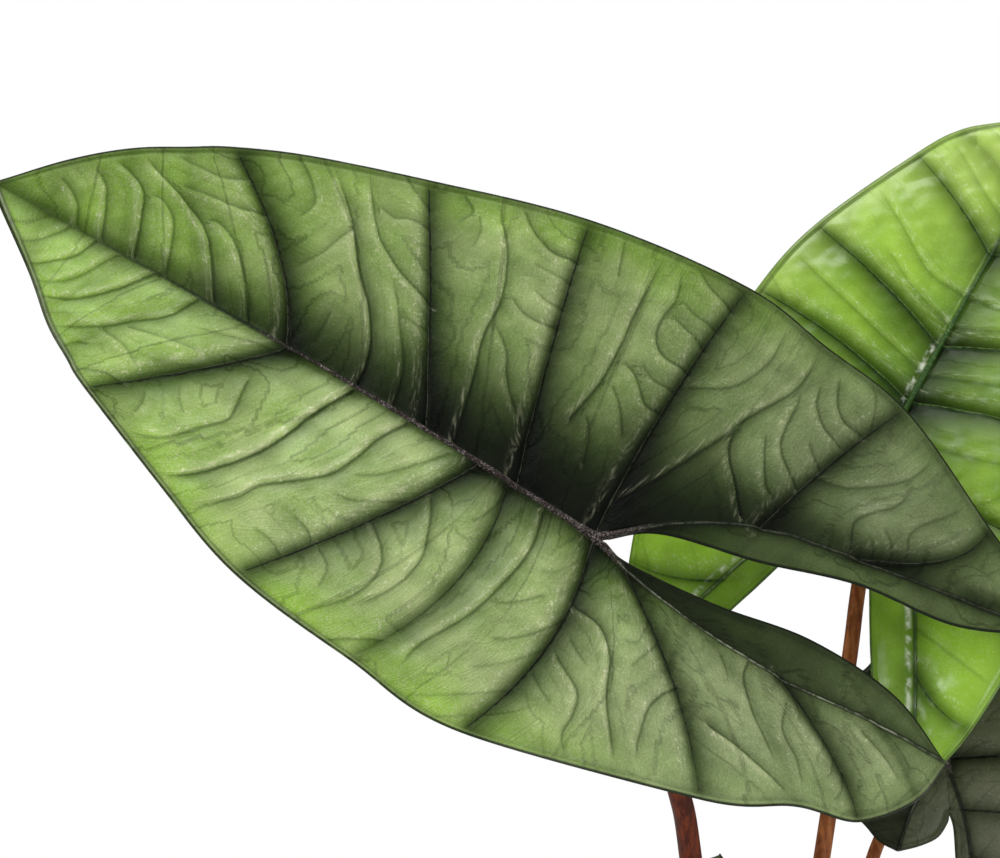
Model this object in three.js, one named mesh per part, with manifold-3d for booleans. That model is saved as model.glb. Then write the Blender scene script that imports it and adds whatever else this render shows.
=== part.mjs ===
import * as THREE from 'three';
import { mergeVertices } from 'three/addons/utils/BufferGeometryUtils.js';
import Module from 'manifold-3d';

// A potted alocasia: arrow-shaped leaves on long stalks, in a plain tapered nursery pot.
// Millimetres, +Z up, front towards -Y, origin at the middle of the pot's flat underside.

// Pot
const potHeight = 176;
const potBaseRadius = 70;
const potNeckRadius = 90.5;
const potRimRadius = 96;
const potRimDepth = 13;
const potWall = 2;
const potFloor = 3.5;
const potCorner = 3;
const potInnerCorner = 4;
const potLip = 1.2;
const potSegments = 56;
const drainHoles = 8;
const drainHoleRadius = 5;
const drainHoleSides = 12;
const drainCircleRadius = 50;

// Soil and the stem that stands in it
const seatGap = 0.35;
const soilLevel = 164;
const soilEdgeDrop = 3;
const soilRings = 6;
const soilSegments = 48;
const soilLump = 1.3;
const soilLumpWidth = 4.5;
const soilCrumbWidth = 2.7;
const stemRadius = 23;
const stemDepth = 24;
const stemCrown = 22;
const stemCorner = 4;
const stemSegments = 28;
const socketGap = 0.4;

// Leaf stalks
const stalkFoot = 154;
const stalkUpright = 24;
const stalkCircleRadius = 14;
const stalkFootRadius = 5.3;
const stalkSheathTop = 0.28;
const stalkButt = 1.08;
const stalkTaper = 0.3;
const stalkSides = 8;
const stalkSteps = 13;

// Leaf blades
const bladeThickness = 1.2;
const midribDepth = 3;
const lobeRibDepth = 2.1;
const foldReach = 85;
const foldRounding = 10;
const panelPuff = 1.9;
const puffWidth = 60;
const wavePerRow = 1.9;
const waveWidth = 40;
const edgeCurl = 1.6;
const innerColumns = 2;
const stalkSeat = 5;

// Colour and roughness of what isn't a leaf
const potLook = { color: 0x2b2c2d, roughness: 0.6 };
const soilLook = { color: 0x2e221a, roughness: 0.95 };
const stemLook = { color: 0x6b5a3c, roughness: 0.8 };
const stalkRoughness = 0.5;

// Half a grown blade, as its side veins. Each leaves the midrib, or the rib of the lobe, at spine and
// meets the edge at edge. Its middle bows back by bow. On the lobe, inner is the edge along the sinus.
const broadHalf = [
  { spine: [244, 0], edge: [244, 0], bow: 0 },
  { spine: [222, 0], edge: [226, 20], bow: 0 },
  { spine: [190, 0], edge: [208, 36], bow: -1 },
  { spine: [158, 0], edge: [192, 46], bow: -3 },
  { spine: [126, 0], edge: [179, 53], bow: 8 },
  { spine: [97, 0], edge: [153, 65], bow: 9 },
  { spine: [69, 0], edge: [115, 79], bow: 0 },
  { spine: [32, 0], edge: [59, 97], bow: -2 },
  { spine: [0, 0], edge: [-2, 108], bow: -3, inner: [-2, 0] },
  { spine: [-23, 21], edge: [-37, 107], bow: -3, inner: [-19, 14] },
  { spine: [-50, 37], edge: [-74, 105], bow: -2, inner: [-55, 26] },
  { spine: [-87, 49], edge: [-124, 89], bow: 10, inner: [-91, 41] },
  { spine: [-130, 62], edge: [-156, 82], bow: 4, inner: [-131, 52] },
  { spine: [-167, 74], edge: [-167, 74], bow: 0, inner: [-167, 74] },
];

// The other half of the largest leaf, whose lobe hangs closer to the sinus.
const narrowHalf = [
  { spine: [244, 0], edge: [244, 0], bow: 0 },
  { spine: [222, 0], edge: [218, 24], bow: 0 },
  { spine: [190, 0], edge: [203, 39], bow: -1 },
  { spine: [158, 0], edge: [191, 48], bow: -4 },
  { spine: [126, 0], edge: [180, 56], bow: 2 },
  { spine: [98, 0], edge: [142, 74], bow: 2 },
  { spine: [48, 0], edge: [104, 89], bow: 3 },
  { spine: [36, 0], edge: [57, 95], bow: 10 },
  { spine: [0, 0], edge: [11, 96], bow: 8, inner: [-2, 0] },
  { spine: [-15, 4], edge: [-76, 64], bow: 5, inner: [-16, 1] },
  { spine: [-48, 6], edge: [-109, 43], bow: 8, inner: [-50, -5] },
  { spine: [-84, 3], edge: [-133, 32], bow: 7, inner: [-86, -15] },
  { spine: [-124, -6], edge: [-151, 8], bow: 3, inner: [-124, -18] },
  { spine: [-155, -11], edge: [-155, -11], bow: 0, inner: [-155, -11] },
];

// The halves of a younger, rounder blade, whose second lobe has a broader strip along the sinus.
const youngFront = [
  { spine: [170, 0], edge: [170, 0], bow: 0 },
  { spine: [146, 0], edge: [150, 20], bow: 0 },
  { spine: [122, 0], edge: [137, 33], bow: -2 },
  { spine: [97, 0], edge: [120, 43], bow: -2 },
  { spine: [55, 0], edge: [75, 62], bow: -2 },
  { spine: [30, 0], edge: [41, 69], bow: -3 },
  { spine: [0, 0], edge: [0, 71], bow: 0, inner: [-3, 0] },
];
const youngSlimHalf = [
  ...youngFront,
  { spine: [-30, 17], edge: [-36, 72], bow: -2, inner: [-33, 9] },
  { spine: [-62, 30], edge: [-72, 63], bow: 3, inner: [-63, 19] },
  { spine: [-84, 38], edge: [-92, 53], bow: 2, inner: [-83, 28] },
  { spine: [-99, 44], edge: [-99, 44], bow: 0, inner: [-99, 44] },
];
const youngBroadHalf = [
  ...youngFront,
  { spine: [-30, 25], edge: [-36, 72], bow: -2, inner: [-33, 9] },
  { spine: [-62, 37], edge: [-72, 63], bow: 3, inner: [-63, 19] },
  { spine: [-84, 43], edge: [-92, 53], bow: 2, inner: [-83, 28] },
  { spine: [-99, 44], edge: [-99, 44], bow: 0, inner: [-99, 44] },
];

// The halves of the shaded blade, which is short in front of its junction. One lobe is short, and the
// other hangs straight down.
const shadedFront = [
  { spine: [74, 0], edge: [74, 0], bow: 0 },
  { spine: [62, 0], edge: [65, 9], bow: 0 },
  { spine: [48, 0], edge: [50, 18], bow: 0 },
  { spine: [36, 0], edge: [36, 27], bow: 0 },
  { spine: [24, 0], edge: [29, 43], bow: 0 },
  { spine: [12, 0], edge: [14, 57], bow: 0 },
];
const shadedShortHalf = [
  ...shadedFront,
  { spine: [0, 0], edge: [-1, 54], bow: 0, inner: [-22, 0] },
  { spine: [-10, 8], edge: [-14, 45], bow: 0, inner: [-25, 1] },
  { spine: [-21, 15], edge: [-24, 34], bow: 0, inner: [-30, 5] },
  { spine: [-30, 19], edge: [-31, 28], bow: 0, inner: [-33, 12] },
  { spine: [-35, 21], edge: [-35, 21], bow: 0, inner: [-35, 21] },
];
const shadedLongHalf = [
  ...shadedFront,
  { spine: [0, 0], edge: [-3, 57], bow: 0, inner: [-22, 0] },
  { spine: [-20, 5], edge: [-28, 50], bow: 0, inner: [-27, 1] },
  { spine: [-37, 7], edge: [-49, 39], bow: 2, inner: [-38, 1] },
  { spine: [-53, 7], edge: [-64, 24], bow: 1, inner: [-54, 1] },
  { spine: [-69, 7], edge: [-69, 7], bow: 0, inner: [-69, 7] },
];

// Leaves. The blade's junction with its stalk is at junction. The midrib points along heading and rises
// by rise, and roll turns the blade about it, in degrees. The stalk starts at footAngle on the crown and
// passes through the points in route. halves are the blade's left and right sides, seen from above it,
// and spread is how far their lobes are turned out.
const leaves = [
  {
    name: 'front_left', junction: [-60, -64.6, 463.5], heading: -176, rise: 33.6, roll: -60.8, scale: 1,
    halves: [narrowHalf, broadHalf], spread: [0, 0], fold: 0.26,
    tipRadius: 1100, lobeRadius: 520, rowSteps: 3, columns: 6, wave: 1, color: 0x5f8048, roughness: 0.42,
    footAngle: -133, stalkRadius: 4.5, neck: 16, stalkColor: 0x5a2f24,
    route: [[-15, -19, 250], [-25.6, -32, 342.7], [-31.5, -41, 373], [-44, -45, 416]],
  },
  {
    name: 'right_young', junction: [42.9, 40, 473.5], heading: 36, rise: 54.2, roll: 44.9, scale: 1,
    halves: [youngSlimHalf, youngBroadHalf], spread: [0, 0.2], fold: 0.22,
    tipRadius: 700, lobeRadius: 400, rowSteps: 2, columns: 5, wave: 1, color: 0x86b83c, roughness: 0.3,
    footAngle: 95, stalkRadius: 3.4, neck: 12, stalkColor: 0x7a4430,
    route: [[12, 20, 250], [24.9, 28, 331.1], [34.9, 38, 403], [38.3, 43, 428]],
  },
  {
    name: 'right_shaded', junction: [73.9, 80, 359.1], heading: 100.3, rise: 67.1, roll: -7.2, scale: 1,
    halves: [shadedShortHalf, shadedLongHalf], spread: [0, 0], fold: 0.28,
    tipRadius: 300, lobeRadius: 220, rowSteps: 2, columns: 5, wave: 1, color: 0x4b5a48, roughness: 0.5,
    footAngle: 40, stalkRadius: 3, neck: 10, stalkColor: 0x5a2f24,
    route: [[27, 42, 250], [48.6, 91, 321]],
  },
  {
    name: 'right_low', junction: [172, -22, 232], heading: -14, rise: -46, roll: -12, scale: 0.7,
    halves: [broadHalf, broadHalf], spread: [0.1, 0.1], fold: 0.24,
    tipRadius: 520, lobeRadius: 520, rowSteps: 2, columns: 5, wave: 3, color: 0x587746, roughness: 0.42,
    footAngle: -15, stalkRadius: 3.6, neck: 14, stalkColor: 0x5a2f24,
    route: [[38, -7, 220], [102, -16, 244], [144, -20, 232]],
  },
  {
    name: 'front_low', junction: [20, -146, 301], heading: -95, rise: -30, roll: -12, scale: 0.58,
    halves: [broadHalf, broadHalf], spread: [0, 0], fold: 0.26,
    tipRadius: 480, lobeRadius: 520, rowSteps: 2, columns: 5, wave: 2.5, color: 0x5c7c48, roughness: 0.42,
    footAngle: -75, stalkRadius: 3.2, neck: 12, stalkColor: 0x5a2f24,
    route: [[7, -42, 222], [14, -100, 264]],
  },
  {
    name: 'back', junction: [-95, 120, 248], heading: 125, rise: -40, roll: 0, scale: 0.66,
    halves: [broadHalf, broadHalf], spread: [0.1, 0.1], fold: 0.26,
    tipRadius: 520, lobeRadius: 480, rowSteps: 2, columns: 5, wave: 2.5, color: 0x567544, roughness: 0.42,
    footAngle: 165, stalkRadius: 3.4, neck: 14, stalkColor: 0x5a2f24,
    route: [[-26, 24, 222], [-60, 68, 250], [-80, 98, 246]],
  },
];

// The newest leaf, still rolled, rises from the middle of the crown.
const rolledLeaf = {
  footRadius: 4.2, radius: 5.4, tipRadius: 0.7, taperFrom: 0.45, taperPower: 1.4,
  belly: [2, -1, 235], top: [6, -3, 326], color: 0x93b95a, roughness: 0.4,
};

const manifoldModule = await Module();
manifoldModule.setup();

function toSolid(geometry) {
  const bare = geometry.clone();
  bare.deleteAttribute('normal');
  bare.deleteAttribute('uv');
  const merged = mergeVertices(bare, 1e-4);
  return new manifoldModule.Manifold(new manifoldModule.Mesh({
    numProp: 3,
    vertProperties: new Float32Array(merged.attributes.position.array),
    triVerts: new Uint32Array(merged.index.array),
  }));
}

function toGeometry(solid) {
  const mesh = solid.getMesh();
  const geometry = new THREE.BufferGeometry();
  geometry.setAttribute('position', new THREE.BufferAttribute(new Float32Array(mesh.vertProperties), 3));
  geometry.setIndex(new THREE.BufferAttribute(new Uint32Array(mesh.triVerts), 1));
  geometry.computeVertexNormals();
  return geometry;
}

function fromLists(points, triangles) {
  const geometry = new THREE.BufferGeometry();
  geometry.setAttribute('position', new THREE.Float32BufferAttribute(points.flat(), 3));
  geometry.setIndex(triangles.flat());
  geometry.computeVertexNormals();
  return geometry;
}

function turned(profile, segments) {
  const points = profile.map(([r, z]) => new THREE.Vector2(r, z));
  return new THREE.LatheGeometry(points, segments).rotateX(Math.PI / 2);
}

function namedMesh(name, geometry, { color, roughness }) {
  const mesh = new THREE.Mesh(geometry, new THREE.MeshStandardMaterial({ color, roughness, metalness: 0 }));
  mesh.name = name;
  return mesh;
}

// A closed round stalk along a curve, whose radius is a function of the way along it.
function taperedTube(curve, radiusAt) {
  const sides = stalkSides;
  const steps = stalkSteps;
  const frames = curve.computeFrenetFrames(steps, false);
  const points = [];
  const triangles = [];
  for (let i = 0; i <= steps; i++) {
    const centre = curve.getPointAt(i / steps);
    for (let k = 0; k < sides; k++) {
      const angle = 2 * Math.PI * k / sides;
      const out = frames.normals[i].clone().multiplyScalar(Math.cos(angle))
        .addScaledVector(frames.binormals[i], Math.sin(angle));
      points.push(centre.clone().addScaledVector(out, radiusAt(i / steps)).toArray());
    }
  }
  for (let i = 0; i < steps; i++) {
    for (let k = 0; k < sides; k++) {
      const a = i * sides + k;
      const b = i * sides + (k + 1) % sides;
      triangles.push([a, b, b + sides], [a, b + sides, a + sides]);
    }
  }
  const footCentre = points.push(curve.getPointAt(0).toArray()) - 1;
  const topCentre = points.push(curve.getPointAt(1).toArray()) - 1;
  for (let k = 0; k < sides; k++) {
    const next = (k + 1) % sides;
    triangles.push([footCentre, next, k], [topCentre, steps * sides + k, steps * sides + next]);
  }
  return fromLists(points, triangles);
}

function makePot() {
  const top = potHeight;
  const rimFoot = potHeight - potRimDepth;
  const innerNeck = potNeckRadius - potWall;
  const innerBase = potBaseRadius - potWall;
  const profile = [
    [0, 0], [potBaseRadius - potCorner, 0], [potBaseRadius, potCorner], [potNeckRadius, rimFoot],
    [potRimRadius - 2 * potLip, rimFoot + potLip], [potRimRadius - potLip / 2, rimFoot + 3 * potLip],
    [potRimRadius, top - 3 * potLip], [potRimRadius - potLip, top - potLip / 2],
    [potRimRadius - 3 * potLip, top], [innerNeck + potLip, top - potLip], [innerNeck, rimFoot],
    [innerBase, potFloor + potInnerCorner], [innerBase - potInnerCorner, potFloor], [0, potFloor],
  ];
  let solid = toSolid(turned(profile, potSegments));
  for (let i = 0; i < drainHoles; i++) {
    const angle = 2 * Math.PI * (i + 0.5) / drainHoles;
    const drill = new THREE.CylinderGeometry(drainHoleRadius, drainHoleRadius, 4 * potFloor, drainHoleSides)
      .rotateX(Math.PI / 2)
      .translate(drainCircleRadius * Math.cos(angle), drainCircleRadius * Math.sin(angle), 0);
    solid = solid.subtract(toSolid(drill));
  }
  return namedMesh('pot', toGeometry(solid), potLook);
}

// The inside of the pot's wall at a height, kept clear by the seat gap.
function soilRadius(z) {
  const low = potFloor + potInnerCorner;
  const high = potHeight - potRimDepth;
  const wall = THREE.MathUtils.mapLinear(z, low, high, potBaseRadius, potNeckRadius);
  return wall - potWall - seatGap;
}

function makeSoil() {
  const hole = stemRadius + seatGap;
  const holeFloor = soilLevel - stemDepth - seatGap;
  const edgeLevel = soilLevel - soilEdgeDrop;
  const underside = potFloor + seatGap;
  const shoulder = underside + potInnerCorner;
  const profile = [
    [0, underside], [soilRadius(shoulder) - potInnerCorner - seatGap, underside],
    [soilRadius(shoulder), shoulder], [soilRadius(edgeLevel), edgeLevel],
  ];
  for (let i = 1; i <= soilRings; i++) {
    const t = i / soilRings;
    const radius = THREE.MathUtils.lerp(soilRadius(edgeLevel), hole, t);
    profile.push([radius, soilLevel - soilEdgeDrop * (1 - t) ** 2]);
  }
  profile.push([hole, holeFloor], [0, holeFloor]);
  const geometry = turned(profile, soilSegments);
  const place = geometry.attributes.position;
  for (let i = 0; i < place.count; i++) {
    const [x, y, z] = [place.getX(i), place.getY(i), place.getZ(i)];
    const onTop = z > edgeLevel + seatGap;
    const awayFromHole = Math.hypot(x, y) > hole + seatGap;
    const lump = Math.sin(x / soilLumpWidth) * Math.cos(y / soilLumpWidth)
      + Math.sin((x - y) / soilCrumbWidth) / 2;
    if (onTop && awayFromHole) place.setZ(i, z + soilLump * lump);
  }
  return namedMesh('potting_soil', geometry, soilLook);
}

// Where a leaf's stalk leaves the crown.
function footPoint(leaf, z) {
  const angle = THREE.MathUtils.degToRad(leaf.footAngle);
  return new THREE.Vector3(stalkCircleRadius * Math.cos(angle), stalkCircleRadius * Math.sin(angle), z);
}

// The blade's frame: x along the midrib to the tip, y to its left, z out of its upper face.
function bladeMatrix(leaf) {
  const rad = THREE.MathUtils.degToRad;
  const forward = new THREE.Vector3(
    Math.cos(rad(leaf.rise)) * Math.cos(rad(leaf.heading)),
    Math.cos(rad(leaf.rise)) * Math.sin(rad(leaf.heading)),
    Math.sin(rad(leaf.rise)));
  const level = new THREE.Vector3(-Math.sin(rad(leaf.heading)), Math.cos(rad(leaf.heading)), 0);
  const left = level.applyAxisAngle(forward, rad(leaf.roll));
  const up = new THREE.Vector3().crossVectors(forward, left);
  return new THREE.Matrix4().makeBasis(forward, left, up).setPosition(...leaf.junction);
}

// The stalk's centre line, from the crown to just under the blade, which it meets square on.
function leafStalk(leaf, footDrop = 0) {
  const matrix = bladeMatrix(leaf);
  const seat = bladeThickness + midribDepth * leaf.scale + seatGap;
  const under = depth => new THREE.Vector3(stalkSeat * leaf.scale, 0, -depth).applyMatrix4(matrix);
  const points = [
    footPoint(leaf, stalkFoot - footDrop),
    footPoint(leaf, stalkFoot + stalkUpright),
    ...leaf.route.map(point => new THREE.Vector3(...point)),
    under(seat + leaf.neck),
    under(seat),
  ];
  return new THREE.CatmullRomCurve3(points, false, 'catmullrom', 0.5);
}

// Thick at the sheath round the crown, then slimmer all the way to the blade.
function stalkRadiusAt(leaf, extra = 0) {
  return t => {
    const sheath = Math.max(0, 1 - t / stalkSheathTop);
    const slim = leaf.stalkRadius * (stalkButt - stalkTaper * t);
    return slim + (stalkFootRadius - leaf.stalkRadius * stalkButt) * sheath ** 1.5 + extra;
  };
}

function makeStalk(leaf) {
  const geometry = taperedTube(leafStalk(leaf), stalkRadiusAt(leaf));
  return namedMesh(`stalk_${leaf.name}`, geometry, { color: leaf.stalkColor, roughness: stalkRoughness });
}

function rolledLeafCurve(footDrop = 0) {
  const foot = [0, 0, stalkFoot - footDrop];
  const points = [foot, rolledLeaf.belly, rolledLeaf.top].map(point => new THREE.Vector3(...point));
  return new THREE.CatmullRomCurve3(points);
}

// It swells above its foot, then tapers to a fine tip.
function rolledRadiusAt(extra = 0) {
  const { footRadius, radius, tipRadius, taperFrom, taperPower } = rolledLeaf;
  return t => {
    const swollen = THREE.MathUtils.lerp(footRadius, radius, Math.sin(Math.PI * t));
    const taper = Math.max(0, t - taperFrom) / (1 - taperFrom);
    return Math.max(tipRadius, swollen * (1 - taper ** taperPower)) + extra;
  };
}

function makeRolledLeaf() {
  return namedMesh('rolled_new_leaf', taperedTube(rolledLeafCurve(), rolledRadiusAt()), rolledLeaf);
}

// The short stem, with a plain socket for the foot of every stalk.
function makeStem() {
  const foot = soilLevel - stemDepth;
  const crown = soilLevel + stemCrown;
  const profile = [
    [0, foot], [stemRadius - stemCorner, foot], [stemRadius, foot + stemCorner],
    [stemRadius, soilLevel + stemCorner], [stemRadius - stemCorner / 2, soilLevel + stemCrown / 2],
    [stemRadius - stemCorner, crown - stemCorner], [stemRadius - 2 * stemCorner, crown], [0, crown],
  ];
  const sockets = leaves.map(leaf => taperedTube(leafStalk(leaf, seatGap), stalkRadiusAt(leaf, socketGap)));
  sockets.push(taperedTube(rolledLeafCurve(seatGap), rolledRadiusAt(socketGap)));
  let solid = toSolid(turned(profile, stemSegments));
  for (const socket of sockets) solid = solid.subtract(toSolid(socket));
  return namedMesh('stem_base', toGeometry(solid), stemLook);
}

// A half blade's lines, each as a function of the row number: whole numbers are the side veins.
function halfLines(leaf, which) {
  const rows = leaf.halves[which];
  const side = which === 0 ? 1 : -1;
  const junctionRow = rows.findIndex(row => row.inner);
  const flat = ([x, y]) => {
    const turnedOut = y === 0 ? 0 : y + leaf.spread[which] * Math.max(0, -x);
    return new THREE.Vector3(x, side * turnedOut, 0);
  };
  const line = list => {
    const curve = new THREE.CatmullRomCurve3(list.map(flat), false, 'catmullrom', 0.5);
    return row => curve.getPoint(THREE.MathUtils.clamp(row / (list.length - 1), 0, 1));
  };
  const lobe = rows.slice(junctionRow);
  const front = line(rows.slice(0, junctionRow + 1).map(row => row.spine));
  const rib = line(lobe.map(row => row.spine));
  const inner = line(lobe.map(row => row.inner));
  const bows = rows.map(row => row.bow);
  return {
    junctionRow,
    lastRow: rows.length - 1,
    edge: line(rows.map(row => row.edge)),
    spine: row => (row <= junctionRow ? front(row) : rib(row - junctionRow)),
    inner: row => inner(row - junctionRow),
    bow: row => THREE.MathUtils.lerp(bows[Math.floor(row)], bows[Math.ceil(row)], row % 1),
  };
}

// A point of the upper face in the blade's frame. across runs from -1 at the sinus edge,
// by 0 at the midrib or rib, to 1 at the outer edge.
function bladePoint(leaf, half, row, across) {
  const spine = half.spine(row);
  const outer = half.edge(row);
  const point = across < 0
    ? spine.clone().lerp(half.inner(row), -across)
    : spine.clone().lerp(outer, across);
  const width = spine.distanceTo(outer);
  if (across > 0) point.x -= 4 * half.bow(row) * across * (1 - across);
  const out = Math.hypot(point.y, foldRounding) - foldRounding;
  const fold = leaf.fold * foldReach * (1 - Math.exp(-out / foldReach));
  const droop = point.x ** 2 / (2 * (point.x > 0 ? leaf.tipRadius : leaf.lobeRadius));
  const field = Math.max(0, across);
  const puff = panelPuff * Math.min(1, width / puffWidth)
    * Math.sin(Math.PI * (row % 1)) * Math.sin(Math.PI * field);
  const wave = leaf.wave * Math.min(1, width / waveWidth)
    * Math.sin(wavePerRow * row + leaf.heading) * field ** 3;
  point.z = fold - droop + puff + wave - edgeCurl * field ** 6 - edgeCurl * Math.max(0, -across) ** 2;
  return point;
}

// The keel under the midrib and the lobe ribs, deepest at the junction.
function keelDepth(half, row, across) {
  if (across !== 0) return 0;
  return row <= half.junctionRow
    ? midribDepth * row / half.junctionRow
    : lobeRibDepth * (half.lastRow - row) / (half.lastRow - half.junctionRow);
}

// One closed blade. Both faces are split into triangles alike, and a rim joins them.
function makeBlade(leaf) {
  const points = [];
  const keels = [];
  const numbers = new Map();
  const upper = [];
  leaf.halves.forEach((_, which) => {
    const side = which === 0 ? 1 : -1;
    const half = halfLines(leaf, which);
    const last = half.lastRow * leaf.rowSteps;
    const join = half.junctionRow * leaf.rowSteps;
    const corner = (i, j) => {
      let key = `${which} ${i} ${j}`;
      if (i === 0) key = 'tip';
      else if (i === last) key = `end ${which}`;
      else if (i <= join && j <= 0) key = `midrib ${i} ${j}`;
      if (!numbers.has(key)) {
        const across = j < 0 ? j / innerColumns : j / leaf.columns;
        const row = i / leaf.rowSteps;
        const point = bladePoint(leaf, half, row, across).multiplyScalar(leaf.scale);
        numbers.set(key, points.push(point.toArray()) - 1);
        keels.push(keelDepth(half, row, across) * leaf.scale);
      }
      return numbers.get(key);
    };
    for (let i = 0; i < last; i++) {
      for (let j = i < join ? 0 : -innerColumns; j < leaf.columns; j++) {
        const [a, b, c, d] = [corner(i, j), corner(i, j + 1), corner(i + 1, j + 1), corner(i + 1, j)];
        for (const triangle of [[a, b, c], [a, c, d]]) {
          if (new Set(triangle).size === 3) upper.push(side > 0 ? triangle : triangle.reverse());
        }
      }
    }
  });
  const count = points.length;
  for (let i = 0; i < count; i++) {
    const [x, y, z] = points[i];
    points.push([x, y, z - bladeThickness - keels[i]]);
  }
  const edges = new Set(upper.flatMap(([a, b, c]) => [`${a} ${b}`, `${b} ${c}`, `${c} ${a}`]));
  const triangles = [...upper, ...upper.map(([a, b, c]) => [a + count, c + count, b + count])];
  for (const edge of edges) {
    const [a, b] = edge.split(' ').map(Number);
    if (!edges.has(`${b} ${a}`)) triangles.push([b, a, a + count], [b, a + count, b + count]);
  }
  const mesh = namedMesh(`leaf_${leaf.name}`, fromLists(points, triangles), leaf);
  bladeMatrix(leaf).decompose(mesh.position, mesh.quaternion, mesh.scale);
  return mesh;
}

const plant = new THREE.Group();
plant.add(makePot(), makeSoil(), makeStem(), makeRolledLeaf());
for (const leaf of leaves) plant.add(makeStalk(leaf), makeBlade(leaf));

export default plant;
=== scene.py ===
import math
import random

import bpy
import numpy as np
from mathutils import Matrix, Vector


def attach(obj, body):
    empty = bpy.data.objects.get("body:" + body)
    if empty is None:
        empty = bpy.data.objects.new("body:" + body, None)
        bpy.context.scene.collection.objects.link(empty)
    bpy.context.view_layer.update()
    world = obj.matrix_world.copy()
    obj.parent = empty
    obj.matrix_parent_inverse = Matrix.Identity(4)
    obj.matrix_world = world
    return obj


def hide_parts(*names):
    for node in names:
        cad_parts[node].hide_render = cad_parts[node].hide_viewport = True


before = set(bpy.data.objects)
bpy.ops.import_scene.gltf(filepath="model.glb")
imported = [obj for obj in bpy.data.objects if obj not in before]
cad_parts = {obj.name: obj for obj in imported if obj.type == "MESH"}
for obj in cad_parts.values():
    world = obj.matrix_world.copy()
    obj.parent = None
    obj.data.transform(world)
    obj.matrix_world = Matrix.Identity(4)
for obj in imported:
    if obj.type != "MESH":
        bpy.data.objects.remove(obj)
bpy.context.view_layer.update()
mm = 0.001
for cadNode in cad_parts.values():
    cadNode.select_set(False)
print("frame loaded:", len(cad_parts), "nodes")


def pickNothing():
    for piece in bpy.context.selected_objects:
        piece.select_set(False)
    bpy.context.view_layer.objects.active = None


def pickOnly(*pieces):
    pickNothing()
    for piece in pieces:
        piece.select_set(True)
    bpy.context.view_layer.objects.active = pieces[0]


def shapeGrid(name, across, along, formula):
    # A flat grid whose points are put in place by formula(u, v), both from 0 to 1, in millimetres
    pickNothing()
    bpy.ops.mesh.primitive_grid_add(x_subdivisions=across, y_subdivisions=along, size=2)
    piece = bpy.context.active_object
    piece.name = piece.data.name = name
    spots = np.empty(len(piece.data.vertices) * 3)
    piece.data.vertices.foreach_get("co", spots)
    spots = spots.reshape(-1, 3)
    u = np.clip(np.round((spots[:, 0] + 1) / 2 * across) / across, 0, 1)
    v = np.clip(np.round((spots[:, 1] + 1) / 2 * along) / along, 0, 1)
    piece.data.vertices.foreach_set("co", (formula(piece, u, v) * mm).ravel())
    piece.data.update()
    return piece


def weldSeams(piece, distance):
    pickOnly(piece)
    bpy.ops.object.mode_set(mode="EDIT")
    bpy.ops.mesh.select_all(action="SELECT")
    bpy.ops.mesh.remove_doubles(threshold=distance * mm)
    bpy.ops.mesh.normals_make_consistent(inside=False)
    bpy.ops.object.mode_set(mode="OBJECT")


def joinPieces(name, pieces):
    pickOnly(*pieces)
    if len(pieces) > 1:
        bpy.ops.object.join()
    joined = bpy.context.active_object
    joined.name = joined.data.name = name
    return joined


def smoothShade(piece, degrees=40):
    pickOnly(piece)
    bpy.ops.object.shade_smooth_by_angle(angle=math.radians(degrees))


def applyModifier(piece, kind, **settings):
    pickOnly(piece)
    modifier = piece.modifiers.new(kind.title(), kind)
    for key, value in settings.items():
        setattr(modifier, key, value)
    bpy.ops.object.modifier_apply(modifier=modifier.name)


def finishPiece(piece, slotName, look, *nodes):
    piece.data.materials.clear()
    piece.data.materials.append(look)
    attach(piece, "root")
    if nodes:
        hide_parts(*nodes)


def paint(piece, name, *channels):
    # A point attribute of one to three values, which the materials read
    values = np.zeros((len(piece.data.vertices), 3), np.float32)
    for i, channel in enumerate(channels):
        values[:, i] = channel
    attribute = piece.data.attributes.get(name) or piece.data.attributes.new(name, "FLOAT_VECTOR", "POINT")
    attribute.data.foreach_set("vector", values.ravel())


def smoothStep(low, high, value):
    t = np.clip((value - low) / (high - low), 0, 1)
    return t * t * (3 - 2 * t)


def between(pair, t):
    return pair[0] + (pair[1] - pair[0]) * t


def ripple(x, y, size, seed):
    # Soft uneven swell, about -1 to 1: a few crossed waves about size millimetres long
    draw = random.Random(seed)
    total = 0
    for _ in range(7):
        turn = draw.uniform(0, math.tau)
        pitch = draw.uniform(0.7, 1.5) * math.tau / size
        start = draw.uniform(0, 9)
        total = total + np.sin(pitch * (x * math.cos(turn) + y * math.sin(turn)) + start)
    return total / 3.5


def throughPoints(points, spot):
    # A smooth curve through the points, where spot 2.5 is halfway from the third to the fourth
    points = np.asarray(points, float)
    last = len(points) - 1
    spot = np.clip(np.asarray(spot, float), 0, last)
    start = np.minimum(np.floor(spot).astype(int), last - 1)
    t = (spot - start)[..., None]
    around = np.vstack([2 * points[0] - points[1], points, 2 * points[-1] - points[-2]])
    a, b, c, d = (around[start + k] for k in range(4))
    return (b + t * (c - a) / 2 + t * t * (a - 2.5 * b + 2 * c - d / 2)
            + t ** 3 * (-a + 3 * b - 3 * c + d) / 2)


# Blades

blade = {"thickness": 1.2, "midribDepth": 3, "lobeRibDepth": 2.1, "foldReach": 85, "foldRounding": 10,
         "puff": 1.5, "puffWidth": 60, "wavePerRow": 1.9, "waveWidth": 40, "edgeCurl": 1.6}

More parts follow.
